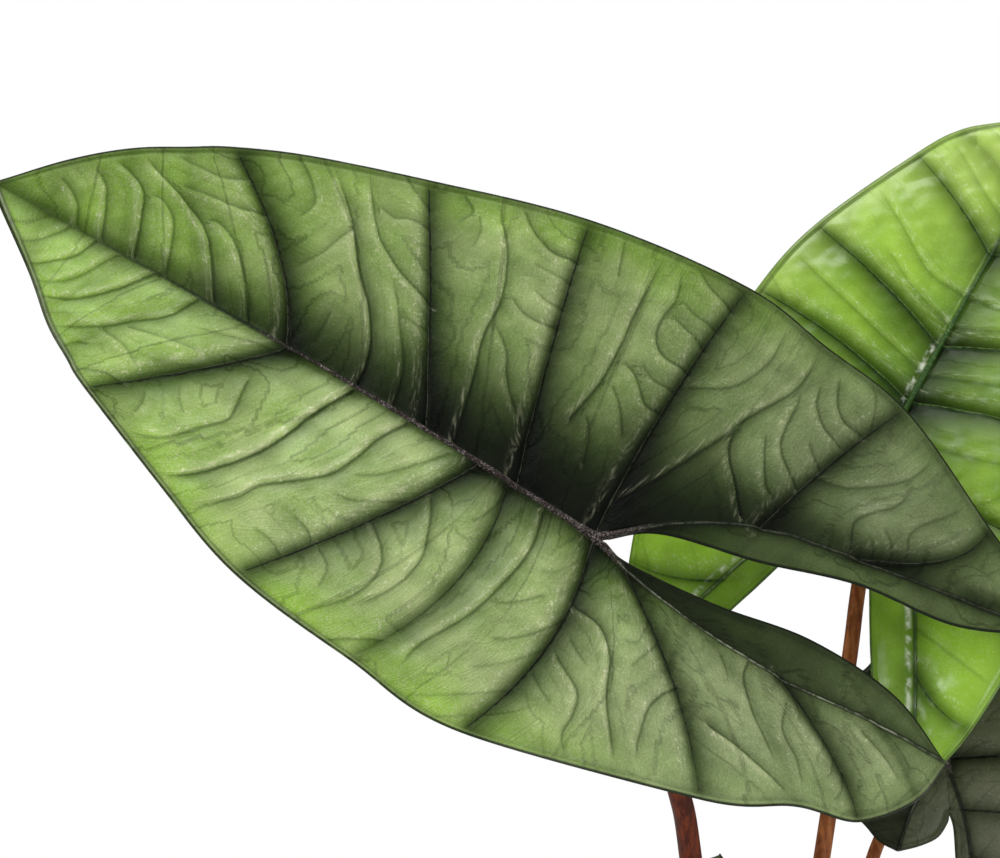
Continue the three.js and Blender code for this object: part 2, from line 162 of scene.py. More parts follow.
# Half blades, as in the source: each row is a side vein, as spine x y, edge x y and bow, and on the
# lobe the sinus edge x y as well. strengths says how strong each side vein is. twigs are the finer
# veins between them, each a strength and its way as (row, across) points.
broadHalf = {
    "rows": [(244, 0, 244, 0, 0), (222, 0, 226, 20, 0), (190, 0, 208, 36, -1), (158, 0, 192, 46, -3),
             (126, 0, 179, 53, 8), (97, 0, 153, 65, 9), (69, 0, 115, 79, 0), (32, 0, 59, 97, -2),
             (0, 0, -2, 108, -3, -2, 0), (-23, 21, -37, 107, -3, -19, 14), (-50, 37, -74, 105, -2, -55, 26),
             (-87, 49, -124, 89, 10, -91, 41), (-130, 62, -156, 82, 4, -131, 52),
             (-167, 74, -167, 74, 0, -167, 74)],
    "strengths": [0, 0.1, 0.1, 0.15, 1, 0, 1, 1, 1, 0, 0.9, 0.85, 0.4, 0],
    "twigs": [
        (0.45, [(1.4, 0.05), (1.35, 0.3), (1.2, 0.5), (1.0, 0.67)]),
        (0.5, [(1.7, 0.05), (1.7, 0.4), (1.65, 0.6), (1.45, 0.8)]),
        (0.6, [(2.1, 0.05), (2.2, 0.4), (2.2, 0.6), (2.0, 0.75), (1.75, 0.87)]),
        (0.45, [(2.5, 0.05), (2.65, 0.35), (2.65, 0.47), (2.5, 0.56), (2.3, 0.58)]),
        (0.65, [(3.1, 0.03), (3.15, 0.3), (3.1, 0.5), (2.85, 0.62), (2.5, 0.75), (2.2, 0.9)]),
        (0.5, [(3.5, 0.03), (3.5, 0.27), (3.45, 0.45), (3.3, 0.54), (3.15, 0.53)]),
        (0.4, [(3.95, 0.7), (3.6, 0.68), (3.25, 0.69), (2.75, 0.72)]),
        (0.35, [(3.85, 0.85), (3.5, 0.83), (3.15, 0.86), (2.75, 0.93)]),
        (0.9, [(4.95, 0.03), (5.05, 0.2), (5.08, 0.37), (5.02, 0.53), (5.05, 0.65), (5.12, 0.78),
               (5.15, 0.98)]),
        (0.35, [(4.8, 0.98), (4.8, 0.9), (4.7, 0.8), (4.4, 0.72)]),
        (0.5, [(5.5, 0.03), (5.6, 0.2), (5.55, 0.35), (5.5, 0.55)]),
        (0.55, [(6.0, 0.5), (5.85, 0.53), (5.6, 0.6), (5.42, 0.7), (5.42, 0.8), (5.5, 0.98)]),
        (0.35, [(6.0, 0.8), (5.8, 0.82), (5.65, 0.81), (5.5, 0.85)]),
        (0.25, [(6.0, 0.39), (5.7, 0.4), (5.55, 0.45)]),
        (0.3, [(5.1, 0.74), (4.9, 0.69), (4.55, 0.58), (4.15, 0.48)]), (0.3, [(4.5, 0.29), (4.3, 0.11)]),
        (0.65, [(6.3, 0.03), (6.4, 0.25), (6.45, 0.44), (6.55, 0.6), (6.55, 0.77), (6.45, 0.98)]),
        (0.35, [(6.25, 0.96), (6.3, 0.91), (6.2, 0.85)]),
        (0.25, [(6.35, 0.89), (6.35, 0.83), (6.3, 0.76)]),
        (0.5, [(7.0, 0.83), (6.82, 0.84), (6.68, 0.9), (6.6, 0.98)]),
        (0.4, [(7.0, 0.58), (6.9, 0.57), (6.72, 0.58), (6.6, 0.63)]),
        (0.5, [(6.9, 0.2), (6.76, 0.27), (6.68, 0.35), (6.65, 0.42), (6.5, 0.52)]),
        (0.3, [(7.0, 0.65), (6.88, 0.65), (6.75, 0.68)]),
        (0.25, [(7.0, 0.75), (6.86, 0.76), (6.72, 0.77)]),
        (0.6, [(7.3, 0.3), (7.42, 0.45), (7.45, 0.6), (7.45, 0.75), (7.46, 0.98)]),
        (0.3, [(7.26, 0.84), (7.22, 0.98)]),
        (0.5, [(8.0, 0.63), (7.75, 0.64), (7.64, 0.69), (7.62, 0.76), (7.64, 0.84), (7.58, 0.95)]),
        (0.35, [(8.0, 0.73), (7.8, 0.76), (7.66, 0.78)]), (0.3, [(8.0, 0.81), (7.8, 0.82), (7.66, 0.85)]),
        (0.4, [(8.0, 0.9), (7.8, 0.93), (7.66, 0.98)]),
        (0.5, [(7.95, 0.46), (7.82, 0.46), (7.64, 0.53), (7.5, 0.56)]),
        (0.3, [(8.0, 0.55), (7.78, 0.55), (7.62, 0.58)]),
        (0.4, [(7.76, 0.34), (7.62, 0.42), (7.5, 0.47)]), (0.4, [(7.55, 0.19), (7.5, 0.28), (7.4, 0.34)]),
        (0.6, [(8.05, 0.13), (8.4, 0.22), (8.75, 0.38), (8.9, 0.52), (9.05, 0.65), (9.12, 0.78),
               (9.0, 0.98)]),
        (0.75, [(9.65, 0.06), (9.35, 0.2), (9.1, 0.31), (8.92, 0.42), (8.88, 0.49)]),
        (0.35, [(8.1, 0.58), (8.45, 0.62), (8.6, 0.69), (8.66, 0.8), (8.56, 0.96)]),
        (0.5, [(9.8, 0.19), (9.65, 0.24), (9.4, 0.37), (9.2, 0.5)]),
        (0.5, [(9.92, 0.29), (9.75, 0.34), (9.5, 0.43), (9.36, 0.53), (9.26, 0.67), (9.18, 0.75)]),
        (0.35, [(9.95, 0.44), (9.8, 0.48), (9.65, 0.54)]),
        (0.45, [(9.9, 0.6), (9.65, 0.64), (9.4, 0.73), (9.28, 0.83)]),
        (0.5, [(9.95, 0.72), (9.75, 0.72), (9.55, 0.79), (9.36, 0.91)]),
        (0.35, [(10.0, 0.38), (10.2, 0.42), (10.32, 0.54), (10.4, 0.72), (10.4, 0.93)]),
        (0.4, [(10.7, 0.1), (10.48, 0.26), (10.46, 0.38), (10.5, 0.52), (10.46, 0.7)]),
        (0.3, [(10.9, 0.3), (10.7, 0.5), (10.75, 0.92)])],
}
narrowHalf = {
    "rows": [(244, 0, 244, 0, 0), (222, 0, 218, 24, 0), (190, 0, 203, 39, -1), (158, 0, 191, 48, -4),
             (126, 0, 180, 56, 2), (98, 0, 142, 74, 2), (48, 0, 104, 89, 3), (36, 0, 57, 95, 10),
             (0, 0, 11, 96, 8, -2, 0), (-15, 4, -76, 64, 5, -16, 1), (-48, 6, -109, 43, 8, -50, -5),
             (-84, 3, -133, 32, 7, -86, -15), (-124, -6, -151, 8, 3, -124, -18),
             (-155, -11, -155, -11, 0, -155, -11)],
    "strengths": [0, 0.1, 0.1, 0.15, 1, 0, 1, 0.65, 1, 0.85, 0.2, 0.85, 0.3, 0],
    "twigs": [
        (0.35, [(1.32, 0.03), (1.2, 0.25), (0.7, 0.9)]),
        (0.45, [(1.64, 0.03), (1.58, 0.33), (1.34, 0.6), (0.96, 0.96)]),
        (0.3, [(1.92, 0.05), (1.78, 0.56), (1.22, 0.97)]),
        (0.55, [(2.36, 0.03), (2.34, 0.36), (2.08, 0.65), (1.5, 0.98)]),
        (0.5, [(2.94, 0.04), (3.08, 0.25), (3.04, 0.43), (2.82, 0.69), (2.2, 0.96)]),
        (0.3, [(2.9, 0.66), (3.28, 0.66), (3.85, 0.72)]), (0.3, [(3.1, 0.52), (3.44, 0.44), (3.8, 0.38)]),
        (0.85, [(4.98, 0.03), (5.0, 0.24), (5.06, 0.41), (5.1, 0.58), (5.08, 0.73), (5.04, 0.86),
               (4.94, 0.98)]),
        (0.6, [(5.42, 0.03), (5.42, 0.17), (5.48, 0.33), (5.5, 0.46), (5.42, 0.6), (5.36, 0.7),
               (5.38, 0.8), (5.3, 0.95)]),
        (0.45, [(4.36, 0.35), (4.58, 0.48), (4.7, 0.57), (4.68, 0.7), (4.66, 0.86), (4.52, 0.97)]),
        (0.3, [(4.35, 0.87), (4.28, 0.82), (4.15, 0.77)]),
        (0.2, [(4.46, 0.7), (4.32, 0.67), (4.16, 0.61)]),
        (0.3, [(5.76, 0.05), (5.72, 0.17), (5.66, 0.32), (5.56, 0.4)]),
        (0.35, [(5.95, 0.71), (5.82, 0.69), (5.7, 0.69)]),
        (0.3, [(5.95, 0.83), (5.82, 0.82), (5.66, 0.83)]),
        (0.3, [(6.08, 0.72), (6.24, 0.76), (6.38, 0.85)]),
        (0.45, [(6.05, 0.5), (6.34, 0.58), (6.5, 0.67), (6.56, 0.8), (6.5, 0.95)]),
        (0.5, [(6.08, 0.26), (6.4, 0.39), (6.6, 0.5), (6.68, 0.65), (6.64, 0.84)]),
        (0.55, [(7.46, 0.04), (7.46, 0.2), (7.38, 0.39), (7.32, 0.57), (7.22, 0.78), (7.3, 0.92)]),
        (0.25, [(7.74, 0.34), (7.58, 0.42), (7.38, 0.49)]),
        (0.65, [(8.06, 0.3), (8.34, 0.34), (8.46, 0.45), (8.48, 0.62), (8.54, 0.78), (8.6, 0.94)]),
        (0.45, [(8.12, 0.54), (8.32, 0.65), (8.36, 0.76), (8.36, 0.86), (8.42, 0.97)]),
        (0.3, [(8.06, 0.65), (8.24, 0.75)]), (0.3, [(8.16, 0.45), (8.32, 0.53)]),
        (0.5, [(9.0, 0.49), (8.82, 0.56), (8.72, 0.65), (8.68, 0.78), (8.68, 0.89)]),
        (0.3, [(9.0, 0.29), (8.76, 0.39), (8.6, 0.48)]),
        (0.65, [(9.2, 0.62), (9.44, 0.69), (9.68, 0.78), (9.94, 0.91)]),
        (0.5, [(10.5, 0.05), (10.12, 0.22), (9.92, 0.41), (9.88, 0.57), (9.88, 0.71)]),
        (0.4, [(10.68, 0.22), (10.25, 0.46), (10.24, 0.63), (10.16, 0.83)]),
        (0.4, [(11.65, 0.19), (11.76, 0.4), (11.8, 0.67)])],
}
youngFront = [(170, 0, 170, 0, 0), (146, 0, 150, 20, 0), (122, 0, 137, 33, -2), (97, 0, 120, 43, -2),
              (55, 0, 75, 62, -2), (30, 0, 41, 69, -3), (0, 0, 0, 71, 0, -3, 0)]
youngTwigs = [
    (0.5, [(3.5, 0.04), (3.62, 0.3), (3.55, 0.6), (3.45, 0.95)]),
    (0.45, [(3.78, 0.04), (3.82, 0.3), (3.75, 0.62)]),
    (0.5, [(4.5, 0.04), (4.55, 0.35), (4.5, 0.7), (4.4, 0.96)]),
    (0.45, [(5.5, 0.04), (5.5, 0.4), (5.4, 0.8)]),
    (0.4, [(2.5, 0.04), (2.55, 0.4), (2.4, 0.9)]), (0.35, [(1.5, 0.04), (1.55, 0.4), (1.4, 0.9)]),
    (0.4, [(6.5, 0.04), (6.5, 0.45), (6.4, 0.9)]), (0.35, [(7.5, 0.04), (7.5, 0.45), (7.5, 0.9)])]


def youngHalf(ribPlaces):
    # The young blade's halves differ only in where the lobe's rib lies
    first, second, third = ribPlaces
    return {
        "rows": youngFront + [(-30, first, -36, 72, -2, -33, 9), (-62, second, -72, 63, 3, -63, 19),
                              (-84, third, -92, 53, 2, -83, 28), (-99, 44, -99, 44, 0, -99, 44)],
        "strengths": [0, 0.3, 0.4, 0.8, 1, 1, 0.9, 0.7, 0.7, 0.4, 0], "twigs": youngTwigs,
    }


youngSlimHalf = youngHalf((17, 30, 38))
youngBroadHalf = youngHalf((25, 37, 43))

shadedFront = [(74, 0, 74, 0, 0), (62, 0, 65, 9, 0), (48, 0, 50, 18, 0), (36, 0, 36, 27, 0),
               (24, 0, 29, 43, 0), (12, 0, 14, 57, 0)]
shadedShortHalf = {
    "rows": shadedFront + [(0, 0, -1, 54, 0, -22, 0), (-10, 8, -14, 45, 0, -25, 1),
                           (-21, 15, -24, 34, 0, -30, 5), (-30, 19, -31, 28, 0, -33, 12),
                           (-35, 21, -35, 21, 0, -35, 21)],
    "strengths": [0, 0, 0.3, 0, 0.6, 0, 0.8, 0.5, 0.4, 0.2, 0], "twigs": [],
}
shadedLongHalf = {
    "rows": shadedFront + [(0, 0, -3, 57, 0, -22, 0), (-20, 5, -28, 50, 0, -27, 1),
                           (-37, 7, -49, 39, 2, -38, 1), (-53, 7, -64, 24, 1, -54, 1),
                           (-69, 7, -69, 7, 0, -69, 7)],
    "strengths": [0, 0, 0.3, 0, 0.6, 0, 0.8, 0.7, 0.6, 0.3, 0], "twigs": [],
}

# One dictionary for each leaf. Place, turn, halves and bends are the source's. steps are front and lobe,
# columns and strip are upper and lower face. highSide, halfDarkening, lobeDarkening and stripDarkening are for each half.
# The three low leaves, which the photo doesn't show, have one form in three sizes.
frontLeft = {
    "junction": (-60, -64.6, 463.5), "heading": -176, "rise": 33.6, "roll": -60.8, "scale": 1,
    "halves": (narrowHalf, broadHalf), "spread": (0, 0), "fold": 0.26, "tipRadius": 1100, "lobeRadius": 520,
    "wave": 1, "footAngle": -133, "stalkRadius": 4.5, "neck": 16,
    "route": [(-15, -19, 250), (-25.6, -32, 342.7), (-31.5, -41, 373), (-44, -45, 416)],
    "steps": (230, 150), "columns": (92, 12), "strip": (14, 6), "grain": 1.0, "look": "grown",
    "darkAndShade": 0.9, "highSide": (0, 1), "halfDarkening": (-0.2, 0), "lobeDarkening": (0.1, 0.45), "tipDarkening": 0.15,
    "stripDarkening": ((4.4, 0.95), (5.5, 0.95)), "stalkLook": "dark", "twigGap": 10,
}
# On this blade the lobes' darkening below nought lightens them: painted light shining through the thin young
# lobes.
rightYoung = {
    "junction": (42.9, 40, 473.5), "heading": 36, "rise": 54.2, "roll": 44.9, "scale": 1,
    "halves": (youngSlimHalf, youngBroadHalf), "spread": (0, 0.2), "fold": 0.22, "tipRadius": 700,
    "lobeRadius": 400, "wave": 1, "footAngle": 95, "stalkRadius": 3.4, "neck": 12,
    "route": [(12, 20, 250), (24.9, 28, 331.1), (34.9, 38, 403), (38.3, 43, 428)],
    "steps": (180, 90), "columns": (70, 20), "strip": (14, 6), "grain": 1.0, "look": "young",
    "darkAndShade": 0.6, "highSide": (0.15, 0.5), "halfDarkening": (0, 0.3), "lobeDarkening": (-0.6, -1.0), "tipDarkening": -0.2,
    "stripDarkening": ((0.8, 0.55), (0.8, 0.55)), "stalkLook": "bright", "twigGap": 9,
}
# On this blade the first half's darkening and the tip's are a painted shadow cast by the young blade; the
# lobes' darkening below nought lightens them: painted light.
rightShaded = {
    "junction": (73.9, 80, 359.1), "heading": 100.3, "rise": 67.1, "roll": -7.2, "scale": 1,
    "halves": (shadedShortHalf, shadedLongHalf), "spread": (0, 0), "fold": 0.28, "tipRadius": 300,
    "lobeRadius": 220, "wave": 1, "footAngle": 40, "stalkRadius": 3, "neck": 10,
    "route": [(27, 42, 250), (48.6, 91, 321)],
    "steps": (140, 60), "columns": (52, 16), "strip": (20, 8), "grain": 1.0, "look": "shaded",
    "darkAndShade": 0.6, "highSide": (0.3, 0.3), "halfDarkening": (2.1, 0.45), "lobeDarkening": (-1.3, -1.2), "tipDarkening": 0.3,
    "stripDarkening": ((0.6, 0.2), (0.6, 0.2)), "stalkLook": "bright", "twigGap": 8,
}
lowLeaf = {
    "halves": (broadHalf, broadHalf), "steps": (130, 80), "columns": (50, 16), "strip": (10, 6), "grain": 1.8,
    "look": "grown", "darkAndShade": 0.8, "highSide": (0.4, 0.4), "halfDarkening": (0, 0), "lobeDarkening": (0.3, 0.3),
    "tipDarkening": 0.1, "stripDarkening": ((2.4, 1.1), (2.4, 1.1)), "stalkLook": "dark", "twigGap": 13,
}
rightLow = {
    **lowLeaf, "junction": (172, -22, 232), "heading": -14, "rise": -46, "roll": -12, "scale": 0.7,
    "spread": (0.1, 0.1), "fold": 0.24, "tipRadius": 520, "lobeRadius": 520, "wave": 3,
    "footAngle": -15, "stalkRadius": 3.6, "neck": 14,
    "route": [(38, -7, 220), (102, -16, 244), (144, -20, 232)],
}
frontLow = {
    **lowLeaf, "junction": (20, -146, 301), "heading": -95, "rise": -30, "roll": -12, "scale": 0.58,
    "spread": (0, 0), "fold": 0.26, "tipRadius": 480, "lobeRadius": 520, "wave": 2.5,
    "footAngle": -75, "stalkRadius": 3.2, "neck": 12, "route": [(7, -42, 222), (14, -100, 264)],
}
backLeaf = {
    **lowLeaf, "junction": (-95, 120, 248), "heading": 125, "rise": -40, "roll": 0, "scale": 0.66,
    "spread": (0.1, 0.1), "fold": 0.26, "tipRadius": 520, "lobeRadius": 480, "wave": 2.5,
    "footAngle": 165, "stalkRadius": 3.4, "neck": 14,
    "route": [(-26, 24, 222), (-60, 68, 250), (-80, 98, 246)],
}
leaves = {
    "front_left": frontLeft, "right_young": rightYoung, "right_shaded": rightShaded,
    "right_low": rightLow, "front_low": frontLow, "back": backLeaf,
}

# Relief of a blade in millimetres, for main side veins and twigs: how far each reaches, how deep it lies,
# and how far its slopes run on the tip side and on the stalk side. The tip side is steep, so each panel
# crests just before its vein. Twig sizes are for grain 1.
relief = {
    "mainReach": 26, "mainDip": 2.5, "mainTipSide": 2.2, "mainStalkSide": 6.5,
    "mainCrest": 0.8, "mainCrestPlace": 5.2, "mainCrestWidth": 2.6, "mainEnding": 22,
    "twigReach": 7.5, "twigDip": 1.5, "twigTipSide": 0.8, "twigStalkSide": 4.2,
    "twigCrest": 1.6, "twigCrestPlace": 2, "twigCrestWidth": 1.2, "twigEnding": 9,
    "crestHeight": 0.4, "swell": 0.35, "swellLength": 21, "ripple": 0.16, "rippleLength": 7, "calmRim": 10,
    "ribDip": 1.5, "ribReach": 6, "rimBead": 0.5, "beadPlace": 0.9, "beadGroove": 0.35, "groovePlace": 2.4,
    "cordRadius": 1.45, "cordHeight": 1.5, "cordFrom": 155, "cordFull": 110, "knot": 0.9,
}
# Darkness that the veins bring into the blade's colour, which works like ink: partly their own dark colour,
# partly painted shade in the valleys beside them. Main veins lose theirs over TipSide or StalkSide
# millimetres, from their start to their end, and twigs over Soft, which grows with their strength. The rim
# darkens more on the half that stands high: painted shade.
darkAndShade = {
    "main": 3.0, "mainTipSide": (3.0, 1.8), "mainStalkSide": (5.6, 4.2), "twig": 2.3, "twigSoft": (0.8, 1.2),
    "rimLow": 0.3, "rimHigh": 1.1, "rimReach": 3.4, "mottle": 0.15, "mottleLength": 30,
    "fineMottleLength": 11, "least": -0.6, "most": 5.5, "underside": 0.3,
}
# Darkness in the valley along midrib and lobe rib, on the half that stands high and on the one that lies low:
# partly the ribs' dark colour, partly painted shade, deeper and wider on the high half, which folds away from
# the light. How much from the junction to the tip and to the lobe's end, and how many millimetres wide
valleys = {
    "high": {"front": (5.1, 1.4), "frontEnd": 0.88, "lobe": (3.2, 0.2), "knot": 1.9, "knotLength": 40,
             "frontReach": (27, 5), "reachEnd": 0.88, "lobeReach": 4.5, "knotReach": 22.5, "power": 1.9},
    "low": {"front": (2.9, 1.4), "frontEnd": 0.6, "lobe": (1.0, 1.0), "knot": 1.9, "knotLength": 26,
            "frontReach": (9.0, 3.6), "reachEnd": 0.35, "lobeReach": 3.4, "knotReach": 5.6, "power": 1.2},
}
fullBlade = 244  # Length of the front part that these values were chosen on


def halfOf(leaf, which):
    side = 1 if which == 0 else -1
    rows = leaf["halves"][which]["rows"]
    junctionRow = next(i for i, row in enumerate(rows) if len(row) > 5)

    def flat(x, y):
        return (x, 0 if y == 0 else side * (y + leaf["spread"][which] * max(0, -x)))

    return {
        "side": side, "junctionRow": junctionRow, "lastRow": len(rows) - 1,
        "spine": [flat(*row[0:2]) for row in rows], "edge": [flat(*row[2:4]) for row in rows],
        "inner": [flat(*row[5:7]) for row in rows[junctionRow:]], "bow": [row[4] for row in rows],
        "strengths": leaf["halves"][which]["strengths"], "twigs": leaf["halves"][which]["twigs"],
    }


def planOf(half, row, across):
    # Where (row, across) lies on the flat blade, and how wide the half is there
    join = half["junctionRow"]
    row = np.asarray(row, float)
    across = np.asarray(across, float)
    front = throughPoints(half["spine"][:join + 1], row)
    rib = throughPoints(half["spine"][join:], row - join)
    spine = np.where((row <= join)[..., None], front, rib)
    edge = throughPoints(half["edge"], row)
    inner = throughPoints(half["inner"], row - join)
    a = across[..., None]
    point = np.where(a < 0, spine + (inner - spine) * -a, spine + (edge - spine) * a)
    bow = np.interp(row, np.arange(half["lastRow"] + 1), half["bow"])
    x = point[..., 0] - np.where(across > 0, 4 * bow * across * (1 - across), 0)
    return x, point[..., 1], np.linalg.norm(edge - spine, axis=-1)


def nearLine(x, y, line, reach):
    # The points within reach of a line: their numbers, signed distance and place along the line
    low, high = line.min(0) - reach, line.max(0) + reach
    near = np.flatnonzero((x > low[0]) & (x < high[0]) & (y > low[1]) & (y < high[1]))
    px, py = x[near], y[near]
    best = np.full(len(near), 1e9)
    sign = np.ones(len(near))
    place = np.zeros(len(near))
    for i in range(len(line) - 1):
        dx, dy = line[i + 1] - line[i]
        length = max(math.hypot(dx, dy), 1e-9)
        t = np.clip(((px - line[i, 0]) * dx + (py - line[i, 1]) * dy) / length ** 2, 0, 1)
        ox, oy = px - line[i, 0] - t * dx, py - line[i, 1] - t * dy
        gap = np.hypot(ox, oy)
        closer = gap < best
        best = np.where(closer, gap, best)
        sign = np.where(closer, np.sign(dx * oy - dy * ox + 1e-12), sign)
        place = np.where(closer, (i + t) / (len(line) - 1), place)
    kept = best < reach
    return near[kept], (sign * best)[kept], place[kept]


# Fine twigs that fill up the room between the drawn ones. Lengths are in rows and shares of the half's
# width, gaps in the leaf's twigGap, and room in millimetres.
fineTwigs = {"gap": 0.5, "first": (0.5, 1.1), "next": (0.75, 1.35), "last": 0.9, "length": (0.3, 0.62),
             "drift": (0.14, 0.28), "farthest": 0.97, "bend": (-0.02, 0.05), "strength": (0.14, 0.34),
             "room": 4.4}


def twigsOf(leaf, half, seed):
    # The drawn twigs, and where they leave room fine ones, from each side vein towards tip and edge
    draw = random.Random(seed)
    twigs = list(half["twigs"])
    taken = np.vstack([lineOf(half, way) for _, way in twigs]) if twigs else np.empty((0, 2))
    for row in range(2, half["lastRow"]):
        width = float(planOf(half, row, 1)[2]) * leaf["scale"]
        step = fineTwigs["gap"] * leaf["twigGap"] / max(width, 20)
        across = step * draw.uniform(*fineTwigs["first"])
        while across < fineTwigs["last"]:
            length = draw.uniform(*fineTwigs["length"])
            far = min(fineTwigs["farthest"], across + draw.uniform(*fineTwigs["drift"]))
            middle = (across + far) / 2 + draw.uniform(*fineTwigs["bend"])
            way = [(row, across), (row - length * 0.35, middle - 0.03), (row - length * 0.7, middle + 0.05),
                   (row - length, far)]
            strength = draw.uniform(*fineTwigs["strength"])
            line = lineOf(half, way)
            gaps = np.linalg.norm(line[:, None] - taken[None], axis=-1) / leaf["grain"]
            if not len(taken) or gaps.min() > fineTwigs["room"]:
                twigs.append((strength, way))
                taken = np.vstack([taken, line])
            across += step * draw.uniform(*fineTwigs["next"])
    return twigs


def lineOf(half, way):
    count = 8 * (len(way) - 1) + 1
    spots = throughPoints(way, np.linspace(0, len(way) - 1, count))
    x, y, _ = planOf(half, spots[:, 0], spots[:, 1])
    return np.stack([x, y], -1)


def bladeVeins(leaf, half, seed, x, y):
    # Dips, crests and darkness of all side veins, their dark colour with painted shade beside them, and for
    # the shader where each point lies beside its nearest vein
    count = len(x)
    dip, ridge, darkness = np.zeros(count), np.zeros(count), np.zeros(count)
    nearest = {kind: {"side": np.full(count, 40.0), "near": np.zeros(count), "strength": np.zeros(count)}
               for kind in ("main", "twig")}

    def addVein(kind, strength, way):
        isMain = kind == "main"
        grain = 1 if isMain else leaf["grain"]
        reach = relief[kind + "Reach"] * grain
        near, gap, place = nearLine(x, y, lineOf(half, way), reach)
        gap = -half["side"] * gap
        tipSide = gap > 0
        away = np.abs(gap)
        fade = strength * (1 - 0.4 * place ** 2) * np.minimum(1, (1 - place) * relief[kind + "Ending"])
        ending = np.minimum(1, (reach - away) / (0.3 * reach))
        slope = np.where(tipSide, relief[kind + "TipSide"], relief[kind + "StalkSide"])
        slope = slope * (0.6 + 0.4 * strength)
        dip[near] = np.maximum(dip[near], relief[kind + "Dip"] * fade * np.exp(-away / slope) * ending)
        crestGap = (gap / grain - relief[kind + "CrestPlace"]) / relief[kind + "CrestWidth"]
        ridge[near] = np.maximum(ridge[near], fade * relief[kind + "Crest"] * np.exp(-crestGap ** 2))
        if isMain:
            core = np.where(tipSide, 0.5, 0.9)
            fall = np.where(tipSide, between(darkAndShade["mainTipSide"], place), between(darkAndShade["mainStalkSide"], place))
            shade = np.exp(-np.maximum(0, away - core) / fall)
            lineWidth = (0.22 + 0.34 * strength) * (1 - 0.5 * place)
        else:
            # Only the soft part of a twig's painted shade, on its stalk side. The material adds the sharp
            # part.
            soft = (darkAndShade["twigSoft"][0] + darkAndShade["twigSoft"][1] * strength) * grain
            shade = np.exp(-away / soft) * smoothStep(0, 1.4 * grain, away) * (1 - tipSide)
            lineWidth = grain
        darkness[near] += darkAndShade[kind] * fade * shade * ending
        found = nearest[kind]
        closeness = 1 - away / reach
        take = closeness > found["near"][near]
        spots = near[take]
        found["near"][spots] = closeness[take]
        found["side"][spots] = (gap / lineWidth)[take]
        found["strength"][spots] = fade[take] * (1 if isMain else leaf["darkAndShade"])

    for number, strength in enumerate(half["strengths"]):
        if strength:
            addVein("main", strength, [(number, across) for across in np.linspace(0, 1, 5)])
    for strength, way in twigsOf(leaf, half, seed):
        addVein("twig", strength, way)
    return dip, ridge, darkness, nearest


def edgeGaps(half, x, y):
    # Distances to the rim, and to the midrib or lobe rib
    rows = np.linspace(0, half["lastRow"], 260)
    lobeRows = np.linspace(half["junctionRow"], half["lastRow"], 90)
    rim, ribGap = np.full(len(x), 40.0), np.full(len(x), 60.0)
    for edgeRows, side in ((rows, 1.0), (lobeRows, -1.0)):
        edgeX, edgeY, _ = planOf(half, edgeRows, np.full_like(edgeRows, side))
        near, gap, _ = nearLine(x, y, np.stack([edgeX, edgeY], -1), 40)
        rim[near] = np.minimum(rim[near], np.abs(gap))
    ribX, ribY, _ = planOf(half, rows, np.zeros_like(rows))
    near, gap, _ = nearLine(x, y, np.stack([ribX, ribY], -1), 60)
    ribGap[near] = np.abs(gap)
    return rim, ribGap


def bladeDarkening(leaf, which, seed, spot, veinDarkAndShade):
    # Darkness of the veins, along the midrib and the lobe ribs, in the strip beside the sinus, and at the
    # rim: dark colour and painted shade. On some blades a half's own darkening is a painted shadow, and lobe
    # darkening below nought painted light.
    x, y, rim, ribGap, size = spot["x"], spot["y"], spot["rim"], spot["ribGap"], spot["size"]
    forward, backward = spot["forward"], spot["backward"]

    def valley(kind):
        given = valleys[kind]
        knot = np.exp(-np.abs(np.minimum(0, x)) / (given["knotLength"] * size))
        amount = np.where(x > 0, between(given["front"], smoothStep(0, given["frontEnd"], forward)),
                          between(given["lobe"], backward) + given["knot"] * knot)
        reach = np.where(x > 0, between(given["frontReach"], smoothStep(0, given["reachEnd"], forward)),
                         given["lobeReach"] + given["knotReach"] * knot) * size
        return amount * np.exp(-(ribGap / reach) ** given["power"])

    high = leaf["highSide"][which]
    field = veinDarkAndShade + high * valley("high") + (1 - high) * valley("low")
    field = field + leaf["lobeDarkening"][which] * (1 - smoothStep(-60, 70, x / size))
    field = field + leaf["tipDarkening"] * smoothStep(0.3, 1, forward)
    field = field + between((darkAndShade["rimLow"], darkAndShade["rimHigh"]), high) * np.exp(-rim / darkAndShade["rimReach"])
    start, rest = leaf["stripDarkening"][which]
    strip = rest + (start - rest) * np.where(high > 0.5, spot["nearKnot"], (1 - backward) ** 1.4)
    strip = strip + 0.8 * np.exp(-ribGap / 2.2) + 0.9 * np.exp(-rim / 1.6)
    strip = strip + 1.5 * high * np.exp(-ribGap / 2)
    inStrip = spot["across"] < -0.0001
    fineMottle = np.where(inStrip, 0.2, 0.1) * ripple(x, y, darkAndShade["fineMottleLength"], seed + 3)
    mottle = darkAndShade["mottle"] * ripple(x, y, darkAndShade["mottleLength"], seed + 2) + fineMottle
    darkness = (np.where(inStrip, strip, field) + mottle) * leaf["darkAndShade"]
    darkness = darkness + leaf["halfDarkening"][which] * np.where(inStrip, 0.1, 1)
    return np.clip(darkness, darkAndShade["least"], darkAndShade["most"])


